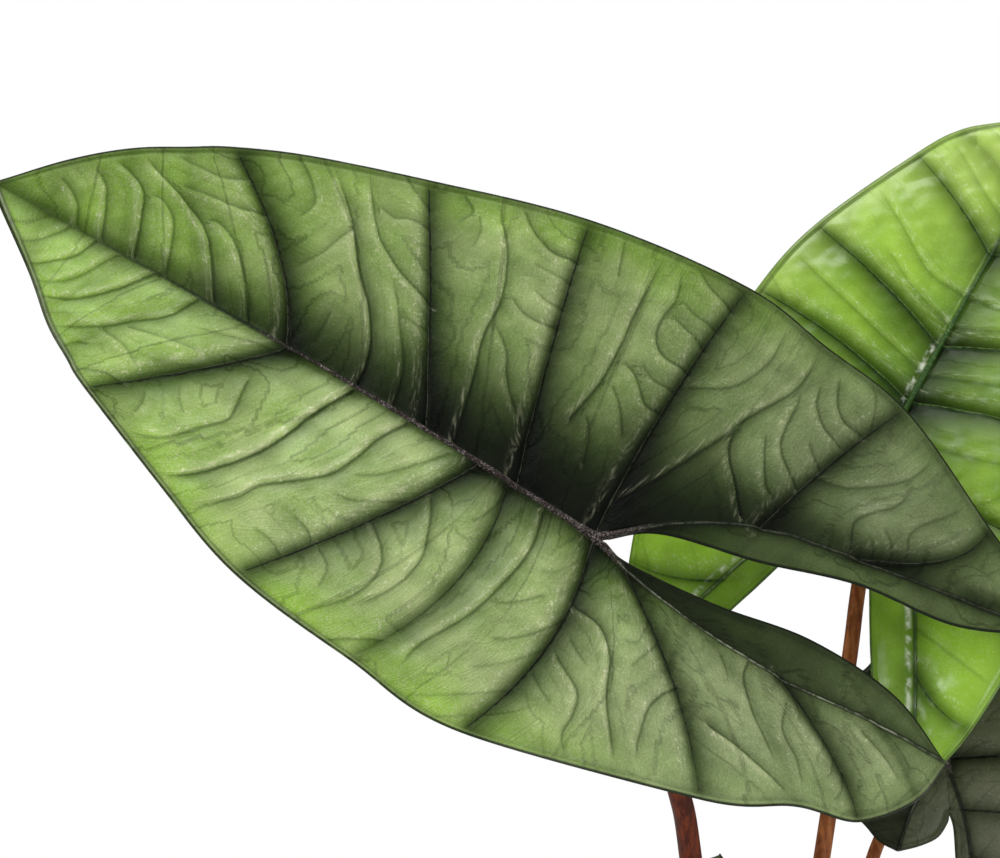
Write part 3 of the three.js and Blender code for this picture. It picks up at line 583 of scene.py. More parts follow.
def bladeRelief(leaf, half, which, seed, x, y, across, width):
    # Height of the fine forms in millimetres, and the masks that the materials read
    dip, ridge, veinDarkAndShade, nearest = bladeVeins(leaf, half, seed + which, x, y)
    rim, ribGap = edgeGaps(half, x, y)
    tip, end = half["spine"][0][0], half["spine"][-1][0]
    size = tip / fullBlade
    forward, backward = np.clip(x / tip, 0, 1), np.clip(x / end, 0, 1)
    nearKnot = np.exp(-np.abs(np.minimum(0, x)) / (26 * size))
    # The midrib stands out as a cord towards the junction, and the lobe ribs thinly
    cordEnd = 1 - smoothStep(relief["cordFull"] / fullBlade, relief["cordFrom"] / fullBlade, forward)
    cord = np.where(x > 0, cordEnd, 0.25 + 0.75 * (1 - smoothStep(0.02, 0.1, backward)))
    radius = relief["cordRadius"] * np.where(x > 0, 1 - 1.3 * np.minimum(0.5, forward), 0.4 + 0.6 * nearKnot)
    radius = radius + relief["knot"] * np.exp(-(x ** 2 + y ** 2) / 12)
    cordShape = np.sqrt(np.clip(1 - (ribGap / radius) ** 2, 0, 1))
    nearTip = np.minimum(1, (1 - forward) * 8)
    ribDip = relief["ribDip"] * np.exp(-ribGap / relief["ribReach"]) * np.minimum(1, rim / 6) * nearTip
    bead = relief["rimBead"] * np.sqrt(np.clip(1 - (rim - relief["beadPlace"]) ** 2, 0, 1))
    groove = relief["beadGroove"] * np.exp(-((rim - relief["groovePlace"]) / 0.7) ** 2)
    bead = (bead - groove) * (1 - np.exp(-width / 8))
    calm = np.minimum(1, rim / relief["calmRim"])
    swell = relief["swell"] * ripple(x, y, relief["swellLength"], seed)
    swell = swell + relief["ripple"] * ripple(x, y, relief["rippleLength"], seed + 1)
    height = (relief["crestHeight"] * ridge - dip + swell) * calm - ribDip
    height = height + relief["cordHeight"] * cord * cordShape + bead
    # Both halves meet along the midrib, so there the height comes from the midrib alone
    shared = smoothStep(0, 2.2, np.hypot(np.minimum(0, x + 2), y))
    onSeam = relief["cordHeight"] * cord - relief["ribDip"] * nearTip * np.where(x > 0, 1, 0.6)
    height = height * shared + onSeam * (1 - shared)
    spot = {"x": x, "y": y, "across": across, "rim": rim, "ribGap": ribGap, "size": size,
            "forward": forward, "backward": backward, "nearKnot": nearKnot}
    return {"height": height, "nearest": nearest, "darkness": bladeDarkening(leaf, which, seed, spot, veinDarkAndShade),
            "crest": ridge * calm, "rim": rim, "ribGap": np.where(across < 0, -ribGap, ribGap),
            "cord": cord * smoothStep(0.1, 0.5, cordShape) * (cord > 0.3)}


def bladeBase(leaf, x, y, row, across, width):
    # The blade's main form, as in the source: folded, drooping, puffed between the side veins, waved
    out = np.hypot(y, blade["foldRounding"]) - blade["foldRounding"]
    fold = leaf["fold"] * blade["foldReach"] * (1 - np.exp(-out / blade["foldReach"]))
    droop = x ** 2 / (2 * np.where(x > 0, leaf["tipRadius"], leaf["lobeRadius"]))
    field = np.maximum(0, across)
    puff = (blade["puff"] * np.minimum(1, width / blade["puffWidth"])
            * np.sin(np.pi * (row % 1)) * np.sin(np.pi * field))
    wave = (leaf["wave"] * np.minimum(1, width / blade["waveWidth"])
            * np.sin(blade["wavePerRow"] * row + leaf["heading"]) * field ** 3)
    curl = blade["edgeCurl"] * (field ** 6 + np.maximum(0, -across) ** 2)
    return fold - droop + puff + wave - curl


def bladeUnder(leaf, x, rim, ribGap, fine):
    # How far the lower face lies under the upper one: nothing at the rim, and deep along the ribs
    tip, back = leaf["halves"][0]["rows"][0][0], min(h["rows"][-1][0] for h in leaf["halves"])
    reach = np.where(x > 0, 1 - x / tip, 1 - x / back)
    depth = np.where(x > 0, blade["midribDepth"], blade["lobeRibDepth"]) * np.clip(reach, 0, 1)
    keel = depth * np.sqrt(np.clip(1 - (ribGap / (1.1 + 1.4 * depth)) ** 2, 0, 1))
    thickness = blade["thickness"] * np.sqrt(np.clip(rim / 1.6, 0, 1))
    return thickness + (keel + np.maximum(0, fine)) * np.clip(rim / 3, 0, 1)


def bladeMatrix(leaf):
    heading, rise, roll = (math.radians(leaf[key]) for key in ("heading", "rise", "roll"))
    forward = Vector((math.cos(rise) * math.cos(heading), math.cos(rise) * math.sin(heading), math.sin(rise)))
    left = Matrix.Rotation(roll, 3, forward) @ Vector((-math.sin(heading), math.cos(heading), 0))
    up = forward.cross(left)
    return np.array([forward, left, up]), np.array(leaf["junction"], float)


def crowded(t, crowd):
    # Steps that lie closer together at both ends of each unit
    return t - crowd * np.sin(math.tau * t) / math.tau


def edgeRun(half, rows):
    # How far the edge runs from each row to the next
    x, y, _ = planOf(half, rows, np.ones_like(rows))
    return np.hypot(np.gradient(x), np.gradient(y))


def frontPlaces(leaf, tip):
    # Share of the steps up to each place from tip to junction. Steps along the midrib lie closer together
    # where the side veins of either half fan out, and both halves have the same, so that their points meet.
    places, crowd = np.linspace(-tip, 0, 900), np.ones(900)
    for which in (0, 1):
        half = halfOf(leaf, which)
        rows = np.linspace(0, half["junctionRow"], 900)
        x = planOf(half, rows, np.zeros(900))[0]
        fan = edgeRun(half, rows) / np.maximum(0.01, -np.gradient(x))
        crowd = np.maximum(crowd, 0.7 * np.interp(places, -x, fan))
    share = np.cumsum(crowd) - crowd[0]
    return share / share[-1], places


def rowFinder(leaf, half, frontShare, places):
    # The row of a step, on the whole half or on the lobe only
    frontSteps, lobeSteps = leaf["steps"]
    rows = np.linspace(0, half["junctionRow"], 3000)
    rowX = planOf(half, rows, np.zeros(3000))[0]
    lobeRows = np.linspace(half["junctionRow"], half["lastRow"], 900)
    lobeShare = np.cumsum(edgeRun(half, lobeRows) + 0.02)
    lobeShare = (lobeShare - lobeShare[0]) / (lobeShare[-1] - lobeShare[0])

    def rowAt(step, lobeOnly):
        front = np.interp(np.interp(step / frontSteps, frontShare, places), -rowX, rows)
        lobeStep = step if lobeOnly else step - frontSteps
        lobe = np.interp(crowded(np.clip(lobeStep / lobeSteps, 0, 1), 0.5), lobeShare, lobeRows)
        return lobe if lobeOnly else np.where(step <= frontSteps, front, lobe)

    return rowAt


def bladeSheet(name, leaf, which, rowAt, seed, lobeOnly, lower):
    # One face of a half, from tip to lobe end, or of the strip between lobe rib and sinus
    half, (axes, junction) = halfOf(leaf, which), bladeMatrix(leaf)
    tip = half["spine"][0][0]
    steps = leaf["steps"][1] if lobeOnly else sum(leaf["steps"])
    columns = leaf["strip" if lobeOnly else "columns"][1 if lower else 0]
    upper = not lower

    def formula(piece, u, v):
        row = rowAt(np.round(u * steps), lobeOnly)
        across = crowded(v, 0.6) * (-1 if lobeOnly else 1)
        x, y, width = planOf(half, row, across)
        fine = bladeRelief(leaf, half, which, seed, x, y, across, width)
        height = fine["height"]
        if lower:
            height = height - bladeUnder(leaf, x, fine["rim"], np.abs(fine["ribGap"]), height)
        z = bladeBase(leaf, x, y, row, across, width) + height
        for kind, found in fine["nearest"].items():
            paint(piece, kind + "Vein", found["side"], found["near"] * upper, found["strength"])
        paint(piece, "edges", fine["ribGap"], fine["rim"], fine["cord"] * upper)
        # darkness holds the veins' dark colour and painted shade, and crest the panel crests, which the
        # material paints with highlights
        darkness = fine["darkness"] * (1 if upper else darkAndShade["underside"])
        paint(piece, "tones", darkness, fine["crest"] * upper, which)
        paint(piece, "plan", x / tip, y / tip, lower)
        return (np.stack([x, y, z], -1) * leaf["scale"]) @ axes + junction

    return shapeGrid(name, steps, columns, formula)


def makeBlade(name, leaf, seed):
    frontShare, places = frontPlaces(leaf, leaf["halves"][0]["rows"][0][0])
    sheets = []
    for which in (0, 1):
        rowAt = rowFinder(leaf, halfOf(leaf, which), frontShare, places)
        for lobeOnly in (False, True):
            for lower in (False, True):
                sheets.append(bladeSheet(name, leaf, which, rowAt, seed, lobeOnly, lower))
    piece = joinPieces(name, sheets)
    weldSeams(piece, 0.02)
    smoothShade(piece, 60)
    return piece


# Stalks, rolled leaf, stem

stalk = {"foot": 154, "upright": 24, "circle": 14, "footRadius": 5.3, "sheathTop": 0.28, "butt": 1.08,
         "taper": 0.3, "flare": 0.16, "channel": 0.32, "sheathEdge": 0.45, "seat": 5, "sides": 28,
         "steps": 150}


def alongTube(points, spots):
    # Centres and square-on directions along a smooth curve, with equal steps
    fine = throughPoints(points, np.linspace(0, len(points) - 1, 1200))
    lengths = np.concatenate([[0], np.cumsum(np.linalg.norm(np.diff(fine, axis=0), axis=1))])
    centres = np.stack([np.interp(spots * lengths[-1], lengths, fine[:, k]) for k in range(3)], -1)
    tangents = np.gradient(centres, axis=0)
    tangents /= np.linalg.norm(tangents, axis=1)[:, None]
    sideways = np.empty_like(tangents)
    current = np.cross(tangents[0], (0.3, 1, 0.1))
    for i, tangent in enumerate(tangents):
        current = current - tangent * current.dot(tangent)
        current /= np.linalg.norm(current)
        sideways[i] = current
    return centres, sideways, np.cross(tangents, sideways)


def makeTube(name, points, radiusAt, sides, steps, bumps):
    spots = np.linspace(0, 1, steps + 1)
    centres, sideways, other = alongTube(points, spots)

    def formula(piece, u, v):
        # Both ends close: the first and last ring shrink to a point
        ring = np.round(v * steps).astype(int)
        turn = u * math.tau
        radius = radiusAt(spots[ring], turn) + bumps(spots[ring], turn)
        radius = np.where((ring == 0) | (ring == steps), 0, radius)
        radius = np.where((ring == 1) | (ring == steps - 1), radius * 0.75, radius)
        paint(piece, "tube", turn, spots[ring], radius)
        return (centres[ring] + sideways[ring] * (radius * np.cos(turn))[:, None]
                + other[ring] * (radius * np.sin(turn))[:, None])

    piece = shapeGrid(name, sides, steps, formula)
    weldSeams(piece, 0.005)
    smoothShade(piece, 50)
    return piece


def stalkPoints(leaf):
    axes, junction = bladeMatrix(leaf)
    angle = math.radians(leaf["footAngle"])
    foot = np.array([stalk["circle"] * math.cos(angle), stalk["circle"] * math.sin(angle), stalk["foot"]])
    seat = blade["thickness"] + blade["midribDepth"] * leaf["scale"] * 0.8

    def under(depth):
        return junction + stalk["seat"] * leaf["scale"] * axes[0] - depth * axes[2]

    return [foot, foot + (0, 0, stalk["upright"]), *(np.array(p, float) for p in leaf["route"]),
            under(seat + leaf["neck"]), under(seat)]


def makeStalk(name, leaf, seed):
    def radiusAt(t, turn):
        sheath = np.maximum(0, 1 - t / stalk["sheathTop"])
        slim = leaf["stalkRadius"] * (stalk["butt"] - stalk["taper"] * t)
        flare = stalk["flare"] * leaf["stalkRadius"] * np.exp(-((1 - t) / 0.03) ** 2)
        return slim + (stalk["footRadius"] - leaf["stalkRadius"] * stalk["butt"]) * sheath ** 1.5 + flare

    def bumps(t, turn):
        # A shallow channel on the upper side, the sheath's open edge, and slight unevenness
        channel = -stalk["channel"] * np.exp(-((turn - 2.2) / 0.5) ** 2) * np.clip((t - 0.2) * 6, 0, 1)
        sheathEdge = np.exp(-((turn - 4.2 + 2 * t) / 0.25) ** 2) * np.clip((0.3 - t) * 12, 0, 1)
        uneven = 0.05 * np.sin(3 * turn + seed) + 0.07 * np.sin(37 * t + seed) * np.cos(turn)
        return channel + stalk["sheathEdge"] * sheathEdge + uneven

    return makeTube(name, stalkPoints(leaf), radiusAt, stalk["sides"], stalk["steps"], bumps)


rolled = {"footRadius": 4.2, "radius": 5.4, "tipRadius": 0.7, "taperFrom": 0.45, "taperPower": 1.4,
          "belly": (2, -1, 235), "top": (6, -3, 326)}


def makeRolledLeaf():
    points = [np.array(p, float) for p in ((0, 0, stalk["foot"]), rolled["belly"], rolled["top"])]

    def radiusAt(t, turn):
        swollen = rolled["footRadius"] + (rolled["radius"] - rolled["footRadius"]) * np.sin(np.pi * t)
        taper = np.maximum(0, t - rolled["taperFrom"]) / (1 - rolled["taperFrom"])
        return np.maximum(rolled["tipRadius"], swollen * (1 - taper ** rolled["taperPower"]))

    def bumps(t, turn):
        # The wound edge runs up the roll as a step, with faint ribs beside it
        wind = (turn / math.tau + 1.4 * t) % 1
        return (0.55 * wind - 0.3 + 0.05 * np.sin(14 * turn)) * np.clip(t * 6 - 1, 0, 1) * (1 - t)

    return makeTube("rolled_leaf", points, radiusAt, 48, 200, bumps)


stem = {"radius": 23, "depth": 24, "crown": 22}


def makeStem():
    top = soil["level"] + stem["crown"]
    foot = soil["level"] - stem["depth"] + 0.5
    profile = [(0, foot), (19, foot), (22.4, foot + 4), (22.6, soil["level"] + 2), (21.8, soil["level"] + 9),
               (19.6, top - 6), (16.5, top - 2.5), (12, top - 1.5), (6, top - 2), (0, top - 2)]
    spots = np.linspace(0, len(profile) - 1, 81)

    def formula(piece, u, v):
        turn = u * math.tau
        ring = throughPoints(profile, v * (len(profile) - 1))
        radius, z = np.maximum(ring[:, 0], 0), ring[:, 1]
        # Old leaf scars: slanting rings, torn a little
        scar = np.sin((z + 1.6 * np.sin(turn + 0.6) + 0.7 * np.sin(3 * turn)) * 1.15)
        rough = 0.5 * np.maximum(0, scar) + 0.3 * np.sin(9 * turn + 0.4 * z) * np.sin(5 * turn - 0.7 * z)
        body = np.minimum(1, radius / 12) * (z > soil["level"] - 4)
        radius = radius + (rough - 0.5) * body
        paint(piece, "tube", turn, z, scar)
        return np.stack([radius * np.cos(turn), radius * np.sin(turn), z], -1)

    piece = shapeGrid("stem", 120, len(spots) - 1, formula)
    weldSeams(piece, 0.02)
    smoothShade(piece, 50)
    return piece


# Pot and soil

pot = {"height": 176, "baseRadius": 70, "neckRadius": 90.5, "rimRadius": 96, "rimDepth": 13, "wall": 2,
       "floor": 3.5, "corner": 3, "innerCorner": 4, "lip": 1.2, "holes": 8, "holeRadius": 5,
       "holeCircle": 50, "flutes": 40, "fluteDepth": 0.22, "turns": 160}


def makePot():
    top, rimFoot = pot["height"], pot["height"] - pot["rimDepth"]
    lip, rim = pot["lip"], pot["rimRadius"]
    innerNeck, innerBase = pot["neckRadius"] - pot["wall"], pot["baseRadius"] - pot["wall"]
    base, neck, corner = pot["baseRadius"], pot["neckRadius"], pot["corner"]
    profile = [(0, 0), (base - 12, 0), (base - 11, 1), (base - 8, 1), (base - 7, 0), (base - corner, 0),
               (base - 1, 0.9), (base, corner)]
    rise = rimFoot - corner
    profile += [(base + (neck - base) * t, corner + rise * t) for t in np.linspace(0.04, 0.9, 12)]
    fluted = len(profile)
    profile += [(neck - 0.2, rimFoot - 4), (neck, rimFoot), (neck + 1.2, rimFoot + 0.3),
                (rim - 2 * lip, rimFoot + lip), (rim - lip / 2, rimFoot + 3 * lip), (rim, top - 3 * lip),
                (rim - 0.4, top - 1.4), (rim - lip, top - lip / 2), (rim - 2 * lip, top - 0.1),
                (rim - 3 * lip, top), (innerNeck + lip, top - lip), (innerNeck, rimFoot)]
    profile += [(innerBase + (innerNeck - innerBase) * t, 8 + (rimFoot - 8) * t) for t in (0.8, 0.5, 0.2)]
    innerCorner, floor = pot["innerCorner"], pot["floor"]
    profile += [(innerBase, floor + innerCorner), (innerBase - innerCorner, floor), (0, floor)]
    profile = np.array(profile)
    steps = 4 * (len(profile) - 1)

    def formula(piece, u, v):
        turn = u * math.tau
        spot = v * (len(profile) - 1)
        low = np.minimum(np.floor(spot).astype(int), len(profile) - 2)
        t = (spot - low)[:, None]
        ring = profile[low] * (1 - t) + profile[low + 1] * t
        radius, z = ring[:, 0], ring[:, 1]
        flute = pot["fluteDepth"] * np.cos(turn * pot["flutes"]) * smoothStep(corner, 20, z)
        flute = flute * (1 - smoothStep(rimFoot - 26, rimFoot - 14, z))
        radius = radius + np.where(low < fluted, flute, 0)
        return np.stack([radius * np.cos(turn), radius * np.sin(turn), z], -1)

    piece = shapeGrid("nursery_pot", pot["turns"], steps, formula)
    weldSeams(piece, 0.005)
    drills = []
    for i in range(pot["holes"]):
        angle = math.tau * (i + 0.5) / pot["holes"]
        pickNothing()
        bpy.ops.mesh.primitive_cylinder_add(
            vertices=32, radius=pot["holeRadius"] * mm, depth=4 * pot["floor"] * mm,
            location=(pot["holeCircle"] * math.cos(angle) * mm, pot["holeCircle"] * math.sin(angle) * mm, 0))
        drills.append(bpy.context.active_object)
    drill = joinPieces("drill", drills)
    applyModifier(piece, "BOOLEAN", operation="DIFFERENCE", object=drill, solver="EXACT")
    bpy.data.objects.remove(drill)
    smoothShade(piece, 35)
    return piece


# Each kind of lump: height, length and seed
soil = {"level": 164, "edgeDrop": 3, "gap": 0.35, "lumps": ((0.9, 26, 5), (0.6, 9, 6), (0.45, 3.6, 7)),
        "turns": 150, "rings": 60}


def soilRadius(z):
    # The pot's inner wall at that height, less the gap
    shoulder = pot["floor"] + pot["innerCorner"]
    t = (z - shoulder) / (pot["height"] - pot["rimDepth"] - shoulder)
    return pot["baseRadius"] + (pot["neckRadius"] - pot["baseRadius"]) * t - pot["wall"] - soil["gap"]


def soilTop(x, y):
    # The soil's lumpy level: lower at the wall, a little piled up round the stem
    wallGap = soilRadius(soil["level"]) - np.hypot(x, y)
    t = np.clip(wallGap / (soilRadius(soil["level"]) - stem["radius"]), 0, 1)
    level = soil["level"] - soil["edgeDrop"] * (1 - t) ** 2
    lumps = sum(height * ripple(x, y, length, seed) for height, length, seed in soil["lumps"])
    return level + lumps * np.clip(wallGap / 4, 0, 1)


def makeSoil():
    under, shoulder = pot["floor"] + soil["gap"], pot["floor"] + soil["gap"] + pot["innerCorner"]
    edge = soil["level"] - soil["edgeDrop"]
    wide = soilRadius(shoulder)
    hidden = [(0, under), (wide - pot["innerCorner"], under), (wide, shoulder), (soilRadius(edge), edge)]
    steps = len(hidden) - 1 + soil["rings"]

    def formula(piece, u, v):
        turn = u * math.tau
        ring = np.round(v * steps).astype(int)
        low = np.array(hidden)[np.minimum(ring, len(hidden) - 1)]
        t = np.clip((ring - len(hidden) + 1) / soil["rings"], 0, 1)
        radius = np.where(t > 0, soilRadius(edge) * (1 - t), low[:, 0])
        x, y = radius * np.cos(turn), radius * np.sin(turn)
        z = np.where(t > 0, soilTop(x, y), low[:, 1])
        return np.stack([x, y, z], -1)

    piece = shapeGrid("soil", soil["turns"], steps, formula)
    weldSeams(piece, 0.02)
    smoothShade(piece, 70)
    return piece


bits = {
    "bark_chips": {"look": "bark", "count": 420, "size": (1.2, 3.4), "stretch": (1.1, 2.2), "seed": 21},
    "perlite": {"look": "perlite", "count": 120, "size": (0.8, 1.7), "stretch": (1.0, 1.3), "seed": 22},
}


def scatterBits(name, kind):
    # Small broken lumps that lie on the soil, copies of one ball, each turned and dented by its own draw
    draw = random.Random(kind["seed"])
    pickNothing()
    bpy.ops.mesh.primitive_ico_sphere_add(subdivisions=1, radius=1)
    ball = bpy.context.active_object
    shape = np.array([point.co for point in ball.data.vertices])
    scattered = []
    for _ in range(kind["count"]):
        angle = draw.uniform(0, math.tau)
        radius = math.sqrt(draw.uniform((stem["radius"] + 2) ** 2, (soilRadius(soil["level"]) - 5) ** 2))
        size = draw.uniform(*kind["size"])
        long, flat = draw.uniform(*kind["stretch"]), draw.uniform(0.35, 0.7)
        dents = np.array([[draw.uniform(0.72, 1.25)] for _ in shape])
        turn = Matrix.Rotation(draw.uniform(0, math.tau), 3, "Z")
        turn = turn @ Matrix.Rotation(draw.uniform(-0.5, 0.5), 3, "X")
        x, y = radius * math.cos(angle), radius * math.sin(angle)
        z = float(soilTop(np.array([x]), np.array([y]))[0]) + size * flat * draw.uniform(-0.1, 0.5)
        spots = (shape * dents * (size * long, size, size * flat)) @ np.array(turn).T + (x, y, z)
        bit = bpy.data.objects.new(name, ball.data.copy())
        bpy.context.scene.collection.objects.link(bit)
        bit.data.vertices.foreach_set("co", (spots * mm).ravel())
        scattered.append(bit)
    bpy.data.objects.remove(ball)
    piece = joinPieces(name, scattered)
    smoothShade(piece, 25)
    return piece


# Materials. Each is a Principled shader fed by masks from the pieces' own attributes.

def newTree(name):
    look = bpy.data.materials.new(name)
    look.use_nodes = True
    tree = look.node_tree
    tree.nodes.clear()
    shader = tree.nodes.new("ShaderNodeBsdfPrincipled")
    output = tree.nodes.new("ShaderNodeOutputMaterial")
    tree.links.new(shader.outputs[0], output.inputs["Surface"])
    return look, tree, shader


def put(tree, socket, value):
    if isinstance(value, bpy.types.NodeSocket):
        tree.links.new(value, socket)
    elif value is not None:
        socket.default_value = (*value, 1) if isinstance(value, tuple) and socket.type == "RGBA" else value


def calc(tree, operation, a, b=None, c=None, clamp=False):
    node = tree.nodes.new("ShaderNodeMath")
    node.operation = operation
    node.use_clamp = clamp
    for socket, value in zip(node.inputs, (a, b, c)):
        put(tree, socket, value)
    return node.outputs[0]


def times(tree, *values):
    product = values[0]
    for value in values[1:]:
        product = calc(tree, "MULTIPLY", product, value)
    return product


def apart(tree, a, b):
    return calc(tree, "ABSOLUTE", calc(tree, "SUBTRACT", a, b))


def blendColors(tree, amount, a, b, kind="MIX"):
    node = tree.nodes.new("ShaderNodeMix")
    node.data_type = "RGBA"
    node.blend_type = kind
    put(tree, node.inputs[0], amount)
    put(tree, node.inputs[6], a)
    put(tree, node.inputs[7], b)
    return node.outputs[2]


def spread(tree, value, low, high, newLow=0.0, newHigh=1.0, smooth=True):
    node = tree.nodes.new("ShaderNodeMapRange")
    node.interpolation_type = "SMOOTHSTEP" if smooth else "LINEAR"
    for socket, item in zip(node.inputs, (value, low, high, newLow, newHigh)):
        put(tree, socket, item)
    return node.outputs[0]


def readAttribute(tree, name):
    node = tree.nodes.new("ShaderNodeAttribute")
    node.attribute_name = name
    split = tree.nodes.new("ShaderNodeSeparateXYZ")
    tree.links.new(node.outputs["Vector"], split.inputs[0])
    return split.outputs[0], split.outputs[1], split.outputs[2]


def speckle(tree, size, detail=3.0, rough=0.6, coordinates=None, squash=None):
    # Noise whose grains are about size millimetres wide
    if coordinates is None:
        coordinates = tree.nodes.new("ShaderNodeTexCoord").outputs["Object"]
    if squash:
        mapping = tree.nodes.new("ShaderNodeMapping")
        mapping.inputs["Scale"].default_value = squash
        tree.links.new(coordinates, mapping.inputs[0])
        coordinates = mapping.outputs[0]
    node = tree.nodes.new("ShaderNodeTexNoise")
    tree.links.new(coordinates, node.inputs["Vector"])
    node.inputs["Scale"].default_value = 1 / (size * mm)
    node.inputs["Detail"].default_value = detail
    node.inputs["Roughness"].default_value = rough
    return node.outputs["Fac"]


def bumpNormal(tree, height, distance):
    node = tree.nodes.new("ShaderNodeBump")
    node.inputs["Distance"].default_value = distance * mm
    node.inputs["Strength"].default_value = 1
    put(tree, node.inputs["Height"], height)
    return node.outputs[0]


def dress(tree, shader, color, rough, height, depth):
    put(tree, shader.inputs["Base Color"], color)
    put(tree, shader.inputs["Roughness"], rough)
    put(tree, shader.inputs["Normal"], bumpNormal(tree, height, depth))


veinSettings = ("Twig dark and shade", "Wrinkles", "Rim ink", "Waver")


def veinGroup():
    # Vein lines and rim of a blade as masks from 0 to 1, with painted glints and highlights, the darkness of
    # its twigs, their dark colour and painted shade, and its fine surface
    group = bpy.data.node_groups.new("veinMasks", "ShaderNodeTree")
    for name in veinSettings:
        group.interface.new_socket(name=name, in_out="INPUT", socket_type="NodeSocketFloat")
    given = group.nodes.new("NodeGroupInput").outputs
    mainSide, mainNear, mainStrength = readAttribute(group, "mainVein")
    twigSide, twigNear, twigStrength = readAttribute(group, "twigVein")
    ribGap, rim, _ = readAttribute(group, "edges")
    x, _, lower = readAttribute(group, "plan")
    _, _, which = readAttribute(group, "tones")
    shown = calc(group, "SUBTRACT", 1.0, lower)
    sand = speckle(group, 0.7, 2, 0.7)
    crumple = speckle(group, 2.4, 4, 0.62)
    cloud = speckle(group, 22, 3, 0.5)
    wander = times(group, calc(group, "SUBTRACT", crumple, 0.5), given["Waver"])
    # Streaks run with the side veins
    streakPlace = group.nodes.new("ShaderNodeCombineXYZ")
    acrossVeins = calc(group, "MULTIPLY_ADD", twigSide, 0.5, times(group, mainSide, 0.25))
    put(group, streakPlace.inputs[0], acrossVeins)
    put(group, streakPlace.inputs[1], times(group, ribGap, 0.2))
    streaks = group.nodes.new("ShaderNodeTexNoise")
    streaks.inputs["Scale"].default_value = 1.0
    streaks.inputs["Detail"].default_value = 4
    group.links.new(streakPlace.outputs[0], streaks.inputs["Vector"])
    streak = spread(group, streaks.outputs["Fac"], 0.45, 0.68)

    # Side veins: a dark line, uneven in strength, with a thin painted glint beside it
    gap = calc(group, "ADD", mainSide, wander)
    onVein = spread(group, mainNear, 0.93, 0.96)
    mainLine = times(group, spread(group, calc(group, "ABSOLUTE", gap), 0.3, 1.5, 1, 0), onVein,
                     spread(group, mainStrength, 0.3, 0.8), spread(group, crumple, 0.3, 0.62, 0.35, 1))
    glint = times(group, spread(group, apart(group, gap, 1.3), 0.15, 0.55, 0.8, 0), onVein,
                  spread(group, mainStrength, 0.45, 1.0), spread(group, crumple, 0.36, 0.62, 0.2, 1))

    # Twigs lie like the edge of a shingle. Their darkness, partly dark colour and partly painted shade, falls
    # quickly on the tip side and slowly on the stalk side.
    gap = calc(group, "ADD", twigSide, times(group, wander, 0.35))
    away = calc(group, "ABSOLUTE", gap)
    slow = calc(group, "DIVIDE", away, calc(group, "MULTIPLY_ADD", twigStrength, 1.2, 0.8))
    quick = times(group, away, away, 2.0)
    tipSide = calc(group, "GREATER_THAN", gap, 0.0)
    fall = calc(group, "MULTIPLY_ADD", tipSide, calc(group, "SUBTRACT", quick, slow), slow)
    shade = calc(group, "EXPONENT", times(group, fall, -1.0))
    twigDarkAndShade = times(group, shade, spread(group, away, 0, 1.4, 1, 0), spread(group, twigNear, 0.8, 0.85),
                    twigStrength, given["Twig dark and shade"], shown)

    # Painted highlights: pale sparkle on the crests. Patches of fine wrinkles like those of foil, which bump
    # the surface and which the material also paints with silver highlights.
    paintedHighlight = calc(group, "MULTIPLY_ADD", crumple, 0.5, speckle(group, 1.4, 3, 0.75))
    paintedHighlight = spread(group, paintedHighlight, 0.82, 0.93)
    folds = apart(group, speckle(group, 3.0, 2, 0.5), 0.5)
    wrinkle = times(group, spread(group, folds, 0.0, 0.045, 1, 0), given["Wrinkles"],
                    spread(group, speckle(group, 12, 2, 0.5), 0.44, 0.6))

    # Along the lobe ribs a dark line with a thin painted highlight on it, on the midrib's far part a dark
    # line only. The dark line is partly the rib's own colour and partly painted shade in its valley.
    unevenRib = calc(group, "MULTIPLY_ADD", wander, 0.25, ribGap)
    ribLine = times(group, spread(group, calc(group, "ABSOLUTE", unevenRib), 0.2, 1.3, 0.8, 0),
                    spread(group, x, 0.55, 0.98, 1, 0.15), shown)
    onLobe = spread(group, x, 0.0, -0.04)
    ribGlint = times(group, spread(group, apart(group, unevenRib, 0.1), 0.05, 0.5, 1, 0), onLobe,
                     spread(group, crumple, 0.34, 0.6, 0.15, 1), spread(group, cloud, 0.36, 0.56, 0.3, 1),
                     spread(group, which, 0, 1, 1, 0.2, smooth=False), shown)

    # The rim is dark outside, then pale. Inside the pale bead the lower half has a dark line too. The bead
    # shows best beside the tip on the lower half, faintly elsewhere, and not along the sinus. On the upper
    # half the bead is fainter and darker: painted shade, as that edge faces away from the light.
    unevenRim = calc(group, "MULTIPLY_ADD", wander, 0.15, rim)
    inner = times(group, spread(group, apart(group, unevenRim, 2.1), 0.1, 0.9, 0.6, 0),
                  spread(group, which, 0, 1, 1, 0.1), spread(group, x, -0.1, 0.4, 0.3, 1))
    darkRim = calc(group, "MAXIMUM", spread(group, unevenRim, 0.6, 1.1, 1, 0), inner)
    darkRim = times(group, darkRim, given["Rim ink"])
    paleRim = times(group, spread(group, apart(group, unevenRim, 1.3), 0.15, 0.6, 1, 0),
                    spread(group, which, 0, 1, 1, 0.15, smooth=False), spread(group, x, -0.2, 0.5, 0.2, 1),
                    spread(group, ribGap, -0.5, 0.5), spread(group, cloud, 0.4, 0.6, 0.5, 1))

